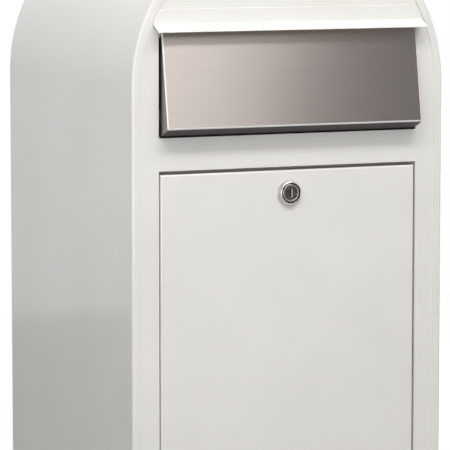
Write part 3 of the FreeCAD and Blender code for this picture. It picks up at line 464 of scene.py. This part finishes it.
def sharp_edges(bm: bmesh.types.BMesh, crease: float) -> list[bmesh.types.BMEdge]:
    """Returns the edges whose faces meet at more than an angle."""
    return [e for e in bm.edges if len(e.link_faces) == 2 and e.calc_face_angle(0.0) > crease]


def along(edge: bmesh.types.BMEdge, axis: int) -> bool:
    """Returns whether an edge runs along an axis."""
    way = (edge.verts[1].co - edge.verts[0].co).normalized()
    return abs(way[axis]) > 0.9999


def turned(profile: list[tuple[float, float]], steps: int = 64) -> bmesh.types.BMesh:
    """Turns a closed profile about Z, as on a lathe.

    Args:
        profile: Radius and height of each corner.
        steps: Faces around.

    Returns:
        The turned mesh.
    """
    bm = bmesh.new()
    verts = [bmesh.ops.create_vert(bm, co=(radius, 0.0, height))["vert"][0]
             for radius, height in profile]
    closed = all(radius > 0 for radius, _ in profile)
    pairs = zip(verts, verts[1:] + verts[:1] if closed else verts[1:])
    edges = [bm.edges.new(pair) for pair in pairs]
    bmesh.ops.spin(bm, geom=verts + edges, cent=(0, 0, 0), axis=(0, 0, 1), angle=2 * math.pi,
                   steps=steps, use_merge=True)
    bmesh.ops.remove_doubles(bm, verts=bm.verts, dist=0.0005 * MM)
    bmesh.ops.recalc_face_normals(bm, faces=bm.faces)
    return bm


def thread(radius: float, start: float, end: float, pitch: float) -> list[tuple[float, float]]:
    """Gives the profile of a screw thread, as rings.

    Args:
        radius: The thread's outer radius.
        start: Height of its first ring.
        end: Height past its last ring.
        pitch: Height of one ring.

    Returns:
        Radius and height of each corner, from start to end.
    """
    turns = int(abs(end - start) / pitch)
    step = (end - start) / turns
    depth = 0.3 * pitch
    corners = []
    for turn in range(turns):
        base = start + turn * step
        corners += [(radius, base), (radius, base + step / 4), (radius - depth, base + step / 2),
                    (radius - depth, base + step * 3 / 4)]
    return corners + [(radius, end)]


def take_in(bm: bmesh.types.BMesh, other: bmesh.types.BMesh) -> None:
    """Adds a finished mesh to another.

    Args:
        bm: The mesh that grows.
        other: The mesh to add; it is freed.
    """
    mesh = bpy.data.meshes.new("taken_in")
    other.to_mesh(mesh)
    other.free()
    bm.from_mesh(mesh)
    bpy.data.meshes.remove(mesh)


def slot_of(node: str) -> str:
    """Returns the record's material slot of a CAD node."""
    subparts = frame["record"]["subparts"]
    return next(part["material_slot"] for part in subparts if part["node"] == node)


def body_of(node: str) -> str:
    """Returns the body that a CAD node belongs to."""
    bodies = frame["record"]["behaviour"]["bodies"]
    return next(body for body, nodes in bodies.items() if node in nodes)


def axle(joint: str) -> Vector:
    """Returns a point on a joint's axis."""
    return Vector(next(entry["pos_m"] for entry in frame["joints"] if entry["name"] == joint))


@dataclass
class Workshop:
    """Turns finished bmeshes into pieces that ride, replace their CAD nodes and wear a finish."""

    palette: Palette
    crease: float = math.radians(32)
    edge: float = 0.2 * MM

    def fit(self, bm: bmesh.types.BMesh, name: str, *nodes: str, stand: Stand = Stand.FLOOR,
            place: tuple[float, float, float] = (0.0, 0.0, 0.0),
            inlays: tuple[bpy.types.Material, ...] = ()) -> bpy.types.Object:
        """Makes an object of a bmesh and puts it in place of its CAD nodes.

        Args:
            bm: The finished mesh; it is freed.
            name: The piece's name.
            *nodes: The CAD nodes that it stands for.
            stand: How the drawing stands in the row frame.
            place: Where the drawing's origin goes.
            inlays: Further finishes, for faces of material number 1 and up.

        Returns:
            The piece.
        """
        bm.transform(Matrix.Translation(place) @ stand.value)
        bmesh.ops.recalc_face_normals(bm, faces=bm.faces)
        if bm.calc_volume(signed=True) < 0:
            bmesh.ops.reverse_faces(bm, faces=bm.faces)
        mesh = bpy.data.meshes.new(name)
        bm.to_mesh(mesh)
        bm.free()
        mesh.shade_smooth()
        mesh.set_sharp_from_angle(angle=self.crease)
        piece = bpy.data.objects.new(name, mesh)
        bpy.context.scene.collection.objects.link(piece)
        slot = slot_of(nodes[0])
        mesh.materials.append(self.palette[slot])
        for finish in inlays:
            mesh.materials.append(finish)
        level = piece.modifiers.new("flat_faces_stay_flat", "WEIGHTED_NORMAL")
        level.keep_sharp = True
        level.weight = 100
        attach(piece, body_of(nodes[0]))
        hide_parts(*nodes)
        LOG.info("%s: %d faces, for %s", name, len(mesh.polygons), ", ".join(nodes))
        return piece

    def soften(self, bm: bmesh.types.BMesh, width: float | None = None) -> None:
        """Takes the sharpness off every edge.

        Args:
            bm: The mesh.
            width: Width of the rounding, if it isn't the workshop's own.
        """
        bmesh.ops.recalc_face_normals(bm, faces=bm.faces)
        round_off(bm, sharp_edges(bm, self.crease), width or self.edge, 2)

    def refined(self, *nodes: str, skin: bpy.types.Material | None = None) -> None:
        """Replaces CAD nodes by merged copies with rounded edges.

        Args:
            *nodes: The CAD nodes.
            skin: A finish to lay over the slot's own.
        """
        for node in nodes:
            bm = bmesh.new()
            bm.from_mesh(frame["nodes"][node].data)
            bmesh.ops.remove_doubles(bm, verts=bm.verts, dist=0.002 * MM)
            bmesh.ops.dissolve_limit(bm, angle_limit=math.radians(0.5), use_dissolve_boundaries=False,
                                     verts=bm.verts, edges=bm.edges, delimit=set())
            round_off(bm, sharp_edges(bm, self.crease), self.edge, 2)
            for face in bm.faces:
                face.material_index = int(skin is not None)
            self.fit(bm, node + "_fine", node, inlays=(skin,) if skin else ())


# ---------------------------------------------------------------- cabinet


@dataclass
class Cabinet:
    """The wrapped shell, the plates that close it and the canopy over the insertion opening."""

    workshop: Workshop
    wall: float = 1.5 * MM
    rim: float = 9.7 * MM
    bend: float = 2.5 * MM
    plate_gap: float = 1.8 * MM
    opening_corner: float = 1.2 * MM
    slot_half: float = 157.5 * MM
    slot_low: float = 455.7 * MM
    slot_high: float = 578.0 * MM
    door_half: float = 157.4 * MM
    door_low: float = 30.0 * MM
    door_high: float = 419.4 * MM
    hood_bend_up: float = 580.4 * MM
    hood_sheet: float = 1.0 * MM
    hood_corner: float = 16.0 * MM
    hood_fold: float = 0.8 * MM
    hood_edge: float = 0.6 * MM
    arch_steps: int = 96

    def build(self) -> None:
        """Builds the cabinet's pieces."""
        self.make_shell()
        self.make_front_plate()
        self.make_hood()
        self.workshop.refined("back_panel", "base_panel")

    @property
    def half(self) -> float:
        """Half the cabinet's width."""
        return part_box("body_shell")[1][0]

    @property
    def spring(self) -> float:
        """Height where the half-round roof starts."""
        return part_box("body_shell")[1][2] - self.half

    def make_shell(self) -> None:
        """Sweeps the sheet's bent section up one side, over the roof and down the other side."""
        low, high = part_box("body_shell")
        inner = self.half - self.wall
        bm = bmesh.new()
        section = [(self.half, high[1]), (self.half, low[1]), (self.half - self.rim, low[1]),
                   (self.half - self.rim, low[1] + self.wall), (inner, low[1] + self.wall),
                   (inner, high[1])]
        face = fill(bm, wire(bm, section))
        bm.verts.ensure_lookup_table()
        bmesh.ops.dissolve_limit(bm, angle_limit=NO_BEND, verts=bm.verts, edges=bm.edges)
        for across, up, radius in ((self.half, low[1], self.bend),
                                   (inner, low[1] + self.wall, self.bend - self.wall)):
            corner = [v for v in bm.verts if (v.co - Vector((across, up, 0))).length < TOUCH]
            round_off(bm, corner, radius, 6, "VERTICES")
        head = push(bm, list(bm.faces), (0, 0, self.spring))
        swept = bmesh.ops.spin(bm, geom=head, cent=(0, 0, self.spring), axis=(0, -1, 0),
                               angle=math.pi, steps=self.arch_steps)["geom_last"]
        head = [item for item in swept if isinstance(item, bmesh.types.BMFace)]
        push(bm, head, (0, 0, -self.spring))
        joints = [f for f in bm.faces
                  if all(abs(v.co.z - self.spring) < TOUCH for v in f.verts)]
        bmesh.ops.delete(bm, geom=joints, context="FACES_ONLY")
        self.workshop.soften(bm)
        self.workshop.fit(bm, "wrapped_shell", "body_shell")

    def make_front_plate(self) -> None:
        """Cuts the arched plate with its two openings from sheet."""
        low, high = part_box("front_plate")
        half = self.half - self.plate_gap
        bm = bmesh.new()
        foot = bmesh.ops.create_vert(bm, co=(half, low[2], 0.0))["vert"]
        side = bmesh.ops.extrude_vert_indiv(bm, verts=foot)["verts"]
        side[0].co.y = self.spring
        arc = bmesh.ops.spin(bm, geom=side, cent=(0, self.spring, 0), axis=(0, 0, 1), angle=math.pi,
                             steps=self.arch_steps)["geom_last"]
        end = bmesh.ops.extrude_vert_indiv(bm, verts=arc)["verts"]
        end[0].co.y = low[2]
        bm.edges.new((end[0], foot[0]))
        for window, bottom, top in ((self.slot_half, self.slot_low, self.slot_high),
                                    (self.door_half, self.door_low, self.door_high)):
            wire(bm, [(-window, bottom), (window, bottom), (window, top), (-window, top)])
        push(bm, fill(bm, list(bm.edges)), (0, 0, high[1] - low[1]))
        bmesh.ops.dissolve_limit(bm, angle_limit=NO_BEND, verts=bm.verts, edges=bm.edges)
        windows = (self.slot_half, self.door_half)
        corners = [e for e in bm.edges if along(e, 2)
                   and min(abs(abs(e.verts[0].co.x) - w) for w in windows) < TOUCH]
        round_off(bm, corners, self.opening_corner, 5)
        self.workshop.soften(bm)
        self.workshop.fit(bm, "arched_front_plate", "front_plate", stand=Stand.FRONT,
                          place=(0, high[1], 0))

    def make_hood(self) -> None:
        """Folds the canopy: a flange with rounded corners and a shelf that slopes out and down."""
        low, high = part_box("slot_hood")
        face = high[1] - self.hood_sheet
        edge_drop = self.hood_sheet * 1.13
        slope = (self.hood_bend_up - low[2] - edge_drop) / (face - low[1])
        bm = bmesh.new()
        profile = [(face, self.hood_bend_up), (low[1], low[2] + edge_drop), (low[1], low[2]),
                   (high[1], low[2] + slope * (high[1] - low[1])), (high[1], high[2]),
                   (face, high[2])]
        push(bm, fill(bm, wire(bm, profile)), (0, 0, high[0] - low[0]))
        bmesh.ops.dissolve_limit(bm, angle_limit=NO_BEND, verts=bm.verts, edges=bm.edges)
        corners = [e for e in bm.edges if along(e, 0) and e.verts[0].co.y > high[2] - TOUCH]
        round_off(bm, corners, self.hood_corner, 14)
        fold = [e for e in bm.edges if along(e, 2)
                and (e.verts[0].co.xy - Vector((face, self.hood_bend_up))).length < TOUCH]
        round_off(bm, fold, self.hood_fold, 4)
        self.workshop.soften(bm, self.hood_edge)
        self.workshop.fit(bm, "folded_canopy", "slot_hood", stand=Stand.SIDE, place=(low[0], 0, 0))


# ---------------------------------------------------------------- insertion flap


class FlapSkin(IntEnum):
    """Which finish a face of the flap wears, after the brushed one: a painted highlight on the bends, painted
    shade on the bottom return and on the side walls.
    """

    FOLD_PAINTED_HIGHLIGHT = 1
    RETURN_PAINTED_SHADE = 2
    SIDE = 3


@dataclass
class InsertionFlap:
    """The stainless flap with its bushes, and what it hangs from."""

    workshop: Workshop
    sheet: float = 1.2 * MM
    bend: float = 1.4 * MM
    ear: float = 6.5 * MM
    ear_hole: float = 3.65 * MM
    plate_front: float = -188.5 * MM
    top: tuple[float, float] = (-191.45 * MM, 571.5 * MM)
    foot: tuple[float, float] = (-208.5 * MM, 466.2 * MM)
    tail: tuple[float, float] = (-188.1 * MM, 456.816 * MM)
    edge: float = 0.15 * MM
    bend_reach: float = 400 * MM
    stud_radius: float = 2.0 * MM
    thread_pitch: float = 0.7 * MM

    def build(self) -> None:
        """Builds the flap and what carries it."""
        self.make_face()
        self.make_studs()
        self.workshop.refined("flap_bushes", "flap_hinge_rod", "rod_clips", "flap_bracket_right",
                              "flap_bracket_left", "bracket_nuts", "flap_buffers")

    def make_face(self) -> None:
        """Folds the flap: a leaning face, side walls with ears and a bottom return."""
        low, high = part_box("insertion_flap")
        pivot = axle("flap_swing")
        rear = high[1]
        bm = bmesh.new()
        outline = [self.tail, (rear, self.tail[1] + self.ear), (rear, pivot.z - 2 * self.ear),
                   (pivot.y, pivot.z - self.ear)]
        bottom = wire(bm, outline + [(pivot.y, pivot.z + self.ear), self.top, self.foot])
        chord = next(e for e in bottom if all(abs(abs(v.co.y - pivot.z) - self.ear) < TOUCH
                                              for v in e.verts))
        start = min(chord.verts, key=lambda v: v.co.y)
        bmesh.ops.delete(bm, geom=[chord], context="EDGES_FACES")
        bmesh.ops.spin(bm, geom=[start], cent=(pivot.y, pivot.z, 0), axis=(0, 0, 1), angle=math.pi,
                       steps=16)
        bmesh.ops.remove_doubles(bm, verts=bm.verts, dist=TOUCH)
        round_hole(bm, (pivot.y, pivot.z), self.ear_hole)
        push(bm, fill(bm, list(bm.edges)), (0, 0, high[0] - low[0]))
        bmesh.ops.dissolve_limit(bm, angle_limit=NO_BEND, verts=bm.verts, edges=bm.edges)
        self.open_rear(bm, pivot)
        bends = [e for e in sharp_edges(bm, math.radians(20)) if self.is_bend(e)]
        bmesh.ops.recalc_face_normals(bm, faces=bm.faces)
        round_off(bm, bends, self.bend, 5)
        for face in bm.faces:
            # Painted highlight: the narrow bend faces wear the near-white finish.
            if face.calc_area() < self.bend_reach * self.bend and abs(face.normal.z) < 0.98:
                face.material_index = FlapSkin.FOLD_PAINTED_HIGHLIGHT
            # Painted shade: the bottom return wears the dark finish.
            if face.normal.y < -0.85:
                face.material_index = FlapSkin.RETURN_PAINTED_SHADE
            # Painted shade: the side walls wear the darker grey finish.
            if abs(face.normal.z) > 0.98:
                face.material_index = FlapSkin.SIDE
        bmesh.ops.recalc_face_normals(bm, faces=bm.faces)
        bmesh.ops.solidify(bm, geom=list(bm.faces), thickness=self.sheet)
        self.workshop.soften(bm, self.edge)
        palette = self.workshop.palette
        self.workshop.fit(bm, "stainless_flap", "insertion_flap", stand=Stand.SIDE,
                          place=(low[0], 0, 0), inlays=(palette.fold, palette.underside, palette.side))

    def open_rear(self, bm: bmesh.types.BMesh, pivot: Vector) -> None:
        """Takes away the walls that the folded sheet doesn't have.

        Args:
            bm: The closed outer shape, with X to the back and Y up.
            pivot: The hinge rod's place.
        """
        face_way = Vector((self.top[0] - self.foot[0], self.top[1] - self.foot[1], 0)).normalized()
        for face in list(bm.faces):
            normal, middle = face.normal, face.calc_center_median()
            is_side = abs(normal.z) > 0.9
            is_front = abs(normal.dot(face_way)) < 0.01 and middle.x < self.plate_front
            is_return = normal.y < -0.8 and middle.y < self.foot[1]
            if not (is_side or is_front or is_return):
                bmesh.ops.delete(bm, geom=[face], context="FACES")

    def is_bend(self, edge: bmesh.types.BMEdge) -> bool:
        """Returns whether an edge is a fold line of the face: its foot or one of its sides."""
        spots = [Vector(vert.co.xy) for vert in edge.verts]
        ends = [min((spot - Vector(end)).length for end in (self.top, self.foot)) for spot in spots]
        return max(ends) < TOUCH and len(edge.link_faces) == 2

    def make_studs(self) -> None:
        """Turns the threaded weld studs that hold the brackets."""
        bm = bmesh.new()
        low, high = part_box("bracket_studs")
        radius = self.stud_radius
        length = high[1] - low[1]
        across, up = high[0] - radius, high[2] - radius
        drop = low[2] + radius
        profile = [(0.0, 0.0), (radius, 0.0)]
        profile += thread(radius, 0.5 * MM, length - 0.4 * MM, self.thread_pitch)
        profile += [(radius - 0.4 * MM, length), (0.0, length)]
        for x in (-across, across):
            for z in (drop, up):
                stud = turned(profile, 24)
                stud.transform(Matrix.Translation((x, -z, 0)))
                take_in(bm, stud)
        bm.transform(Matrix.Rotation(-math.pi / 2, 4, "X"))
        self.workshop.fit(bm, "threaded_studs", "bracket_studs", place=(0, low[1], 0))


# ---------------------------------------------------------------- door


@dataclass
class Door:
    """The drop-down door with its hinges and checks, and the frame and seal that it closes on."""

    workshop: Workshop
    seal_width: float = 7.5 * MM
    seal_crown: float = 1.2 * MM

    def build(self) -> None:
        """Builds the door and its frame."""
        self.make_seal()
        self.workshop.refined("door_panel", "mail_guide", "door_jamb_right", "door_jamb_left",
                              "door_header", "door_sill", "door_leaf_right", "door_leaf_left",
                              "frame_leaf_right", "frame_leaf_left", "hinge_pin_right",
                              "hinge_pin_left", "door_check_right", "door_check_left")

    def make_seal(self) -> None:
        """Lays the foam strips, crowned where the door presses them."""
        low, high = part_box("door_seal")
        width, depth = self.seal_width, high[1] - low[1]
        under = high[2] - width
        bm = bmesh.new()
        for left, right, bottom, top in ((high[0] - width, high[0], low[2], under),
                                         (-high[0], width - high[0], low[2], under),
                                         (-high[0], high[0], under, high[2])):
            strip = bmesh.new()
            corners = [(left, bottom), (right, bottom), (right, top), (left, top)]
            push(strip, fill(strip, wire(strip, corners)), (0, 0, depth))
            bmesh.ops.dissolve_limit(strip, angle_limit=NO_BEND, verts=strip.verts, edges=strip.edges)
            crown = [e for e in sharp_edges(strip, self.workshop.crease)
                     if all(v.co.z > depth - TOUCH for v in e.verts)]
            round_off(strip, crown, self.seal_crown, 5)
            take_in(bm, strip)
        self.workshop.fit(bm, "crowned_foam_seal", "door_seal", stand=Stand.FRONT,
                          place=(0, high[1], 0))


# ---------------------------------------------------------------- lock


@dataclass
class CamLock:
    """The cam lock; heights are along its axis, from the door's face towards the user."""

    workshop: Workshop
    bezel: float = 14.5 * MM
    crown: float = 12.2 * MM
    well: float = 11.35 * MM
    barrel: float = 9.5 * MM
    collar: float = 9.8 * MM
    face: float = 8.1 * MM
    core: float = 6.25 * MM
    gasket: float = 0.5 * MM
    shoulder: float = 1.6 * MM
    bezel_reach: float = 5.0 * MM
    collar_reach: float = 4.8 * MM
    face_reach: float = 4.4 * MM
    face_back: float = 2.65 * MM
    barrel_end: float = -19.8 * MM
    cam_front: float = -20.3 * MM
    tang_end: float = -22.25 * MM
    key_half: tuple[float, float] = (1.0 * MM, 4.25 * MM)
    key_depth: float = 9.0 * MM
    half_tang: float = 3.5 * MM
    running_gap: float = 0.05 * MM
    pitch: float = 1.0 * MM
    crown_round: float = 0.7 * MM
    collar_round: float = 0.35 * MM
    mouth_round: float = 0.6 * MM
    steps: int = 72

    def build(self) -> None:
        """Builds the lock's pieces."""
        self.make_bezel()
        self.make_housing()
        self.make_plug()
        self.workshop.refined("lock_plate", "lock_gasket", "lock_washer", "lock_nut", "lock_cam",
                              "cam_washer", "cam_screw")
        # Painted shade: the key shutter, down in the keyway, wears the near-black finish.
        self.workshop.refined("key_shutter", skin=self.workshop.palette.well)

    @property
    def place(self) -> tuple[float, float, float]:
        """Where the lock's axis meets the door's face."""
        return tuple(axle("lock_turn"))

    def make_bezel(self) -> None:
        """Turns the domed chrome ring and darkens its well with painted shade."""
        profile = [(self.bezel, self.gasket), (self.bezel, self.shoulder)]
        profile += [(self.crown, self.bezel_reach), (self.well, self.bezel_reach),
                    (self.well, self.shoulder), (self.barrel + 0.1 * MM, self.shoulder),
                    (self.barrel + 0.1 * MM, self.gasket)]
        bm = turned(profile, self.steps)
        crown = [e for e in sharp_edges(bm, self.workshop.crease)
                 if abs(e.verts[0].co.z - self.bezel_reach) < TOUCH
                 and e.verts[0].co.xy.length > self.well + 0.3 * MM]
        round_off(bm, crown, self.crown_round, 6)
        self.workshop.soften(bm, 0.12 * MM)
        # Painted shade: the well's inner faces wear the near-black finish.
        for part in bm.faces:
            middle = part.calc_center_median()
            inside = middle.xy.length < self.well + 0.02 * MM
            part.material_index = int(inside and middle.z < self.bezel_reach - 0.6 * MM)
        self.workshop.fit(bm, "domed_bezel", "lock_bezel", stand=Stand.FRONT, place=self.place,
                          inlays=(self.workshop.palette.well,))

    def make_housing(self) -> None:
        """Turns the barrel with its thread, clamping head and collar."""
        gap = self.running_gap
        head = self.well - 0.1 * MM
        head_top = self.shoulder + 0.8 * MM
        seat = self.face_back - gap
        profile = [(self.core + gap, self.barrel_end)]
        profile += thread(self.barrel, self.barrel_end + 0.2 * MM, 0.0, self.pitch)
        profile += [(self.barrel, self.shoulder), (head, self.shoulder), (head, head_top),
                    (self.collar, head_top), (self.collar, self.collar_reach),
                    (self.face + gap, self.collar_reach), (self.face + gap, seat),
                    (self.core + gap, seat)]
        bm = turned(profile, self.steps)
        rim = [e for e in sharp_edges(bm, self.workshop.crease)
               if min(v.co.z for v in e.verts) > self.collar_reach - TOUCH]
        round_off(bm, rim, self.collar_round, 4)
        # Painted shade: the head's faces, down in the bezel's well, wear the near-black finish.
        for part in bm.faces:
            middle = part.calc_center_median()
            low = middle.z < head_top + 0.02 * MM and middle.z > 0
            part.material_index = int(low and middle.xy.length > self.collar - 0.02 * MM)
        self.workshop.fit(bm, "threaded_barrel", "lock_housing", stand=Stand.FRONT,
                          place=self.place, inlays=(self.workshop.palette.well,))

    def make_plug(self) -> None:
        """Makes the plug: a keyed face, a core and a square tang."""
        wide, tall = self.key_half
        half_tang = self.half_tang
        bm = bmesh.new()
        rim = round_hole(bm, (0, 0), self.face, 64)
        keyway = wire(bm, [(-wide, -tall), (wide, -tall), (wide, tall), (-wide, tall)])
        bmesh.ops.translate(bm, verts=bm.verts, vec=(0, 0, self.face_reach))
        fill(bm, rim + keyway)
        walls = bmesh.ops.extrude_edge_only(bm, edges=rim)["geom"]
        edge_verts = [item for item in walls if isinstance(item, bmesh.types.BMVert)]
        bmesh.ops.translate(bm, verts=edge_verts, vec=(0, 0, self.face_back - self.face_reach))
        rim = [item for item in walls if isinstance(item, bmesh.types.BMEdge)
               and all(v in edge_verts for v in item.verts)]
        for radius, height in ((self.core, self.face_back), (self.core, self.cam_front)):
            walls = bmesh.ops.extrude_edge_only(bm, edges=rim)["geom"]
            edge_verts = [item for item in walls if isinstance(item, bmesh.types.BMVert)]
            share = radius / edge_verts[0].co.xy.length
            bmesh.ops.scale(bm, verts=edge_verts, vec=(share, share, 1))
            for vert in edge_verts:
                vert.co.z = height
            rim = [item for item in walls if isinstance(item, bmesh.types.BMEdge)
                   and all(v in edge_verts for v in item.verts)]
        tang = wire(bm, [(-half_tang, -half_tang), (half_tang, -half_tang), (half_tang, half_tang),
                         (-half_tang, half_tang)])
        bmesh.ops.translate(bm, verts=list({v for e in tang for v in e.verts}),
                            vec=(0, 0, self.cam_front))
        fill(bm, rim + tang, (0, 0, -1))
        floor = self.deepen(bm, tang, self.tang_end - self.cam_front)
        bmesh.ops.contextual_create(bm, geom=floor)
        floor = self.deepen(bm, keyway, -self.key_depth)
        bmesh.ops.contextual_create(bm, geom=floor)
        mouth = [e for e in sharp_edges(bm, self.workshop.crease)
                 if all(abs(v.co.z - self.face_reach) < TOUCH and abs(v.co.x) < 1.1 * MM
                        for v in e.verts)]
        round_off(bm, mouth, self.mouth_round, 2)
        bmesh.ops.recalc_face_normals(bm, faces=bm.faces)
        # Painted highlight: faces turned left and out, on the right side of the keyway's mouth, wear the
        # near-white finish.
        for part in bm.faces:
            part.material_index = int(part.normal.x < -0.3 and part.normal.z > 0.3)
        self.workshop.soften(bm, 0.15 * MM)
        self.workshop.fit(bm, "keyed_plug", "lock_plug", stand=Stand.FRONT, place=self.place,
                          inlays=(self.workshop.palette.fold,))

    def deepen(self, bm: bmesh.types.BMesh, loop: list[bmesh.types.BMEdge],
               depth: float) -> list[bmesh.types.BMEdge]:
        """Extrudes a loop of edges along the axis.

        Args:
            bm: The mesh.
            loop: The loop's edges.
            depth: How far it goes.

        Returns:
            The far loop's edges.
        """
        walls = bmesh.ops.extrude_edge_only(bm, edges=loop)["geom"]
        verts = [item for item in walls if isinstance(item, bmesh.types.BMVert)]
        bmesh.ops.translate(bm, verts=verts, vec=(0, 0, depth))
        return [item for item in walls if isinstance(item, bmesh.types.BMEdge)
                and all(v in verts for v in item.verts)]


# ---------------------------------------------------------------- studio


@dataclass(frozen=True)
class Softbox:
    """One rectangular soft light, in metres and watts."""

    name: str
    place: tuple[float, float, float]
    aim: tuple[float, float, float]
    width: float
    height: float
    power: float

    def hang(self) -> None:
        """Hangs the light, facing its aim and out of the camera's sight."""
        light = bpy.data.lights.new(self.name, "AREA")
        light.shape = "RECTANGLE"
        light.size, light.size_y, light.energy = self.width, self.height, self.power
        lamp = bpy.data.objects.new(self.name, light)
        lamp.location = self.place
        lamp.visible_camera = False
        facing = (Vector(self.aim) - Vector(self.place)).to_track_quat("-Z", "Y")
        lamp.rotation_euler = facing.to_euler()
        bpy.context.scene.collection.objects.link(lamp)


@dataclass
class Studio:
    """Plain pale floor, soft lights and the camera."""

    palette: Palette
    focal_length: float = 252.6
    sensor: float = 36.0
    camera_place: tuple[float, float, float] = (-1.4923, -3.3492, 0.742)
    pitch: float = 6.34
    heading: float = 24.1
    floor_half: float = 1.6
    room_front: float = 0.2
    room_back: float = 0.76
    upper_back: float = 1.4

    def build(self) -> None:
        """Builds the floor, the lights, the world and the camera."""
        self.make_floor()
        self.make_lights()
        self.make_world()
        self.make_camera()

    def make_floor(self) -> None:
        """Lays the floor."""
        bm = bmesh.new()
        bmesh.ops.create_grid(bm, x_segments=8, y_segments=8, size=self.floor_half)
        mesh = bpy.data.meshes.new("floor")
        bm.to_mesh(mesh)
        bm.free()
        mesh.materials.append(self.palette.paper)
        floor = bpy.data.objects.new("floor", mesh)
        bpy.context.scene.collection.objects.link(floor)

    def make_lights(self) -> None:
        """Hangs the soft lights."""
        opening, front, foot = (-0.385, -0.19, 0.51), (0.0, -0.19, 0.5), (0.0, -0.19, 0.3)
        for light in (Softbox("key_strip", (-0.385, -1.3, 2.15), opening, 2.53, 0.3, 29.0),
                      Softbox("key_spread", (-0.385, -1.4, 2.25), opening, 2.53, 0.9, 7.0),
                      Softbox("front_card", (0.37, -2.0, 1.55), front, 1.1, 0.8, 5.6),
                      Softbox("low_fill", (-0.5, -2.2, 0.3), foot, 1.2, 0.5, 10.5),
                      Softbox("left_strip", (-2.0, -1.2, 1.1), (-0.1, -0.1, 0.6), 0.3, 1.2, 5.0)):
            light.hang()

    def make_world(self) -> None:
        """Fills the room with an even light."""
        world = bpy.data.worlds.new("studio_air")
        world.use_nodes = True
        tree = world.node_tree
        tree.nodes.clear()
        way = add_node(tree, "ShaderNodeTexCoord", {}, {})
        depth = add_node(tree, "ShaderNodeSeparateXYZ", {}, {0: way.outputs["Generated"]})
        # The backdrop behind the box is bright and the room in front of it is dim.
        room = add_node(tree, "ShaderNodeMapRange",
                        {"interpolation_type": "SMOOTHSTEP", "From Min": -0.2, "From Max": 0.3,
                         "To Min": self.room_front, "To Max": self.room_back},
                        {"Value": depth.outputs["Y"]})
        # Its upper part is brighter, and its edge shows as a soft line in the glossy roof.
        upper = add_node(tree, "ShaderNodeMapRange",
                         {"interpolation_type": "SMOOTHSTEP", "From Min": 0.36, "From Max": 0.42,
                          "To Min": 1.0, "To Max": self.upper_back},
                         {"Value": depth.outputs["Z"]})
        both = add_node(tree, "ShaderNodeMath", {"operation": "MULTIPLY"},
                        {0: room.outputs["Result"], 1: upper.outputs["Result"]})
        sight = add_node(tree, "ShaderNodeLightPath", {}, {})
        level = add_node(tree, "ShaderNodeMix", {3: 1.0},
                         {0: sight.outputs["Is Camera Ray"], 2: both.outputs["Value"]})
        air = add_node(tree, "ShaderNodeBackground", {"Color": srgb("FFFFFF")},
                       {"Strength": level.outputs[0]})
        add_node(tree, "ShaderNodeOutputWorld", {}, {"Surface": air.outputs["Background"]})
        bpy.context.scene.world = world

    def make_camera(self) -> None:
        """Places the camera a little above and to the left of the box."""
        data = bpy.data.cameras.new("camera")
        data.lens, data.sensor_width = self.focal_length, self.sensor
        camera = bpy.data.objects.new("camera", data)
        camera.location = self.camera_place
        camera.rotation_euler = (math.radians(90 - self.pitch), 0.0, math.radians(-self.heading))
        bpy.context.scene.collection.objects.link(camera)
        bpy.context.scene.camera = camera


def main() -> None:
    """Builds every sub-assembly and the studio."""
    logging.basicConfig(level=logging.INFO, format="%(message)s")
    bpy.context.scene.view_settings.view_transform = "Standard"
    palette = Palette()
    workshop = Workshop(palette)
    for assembly in (Cabinet(workshop), InsertionFlap(workshop), Door(workshop), CamLock(workshop)):
        assembly.build()
    Studio(palette).build()


if __name__ == "__main__":
    main()
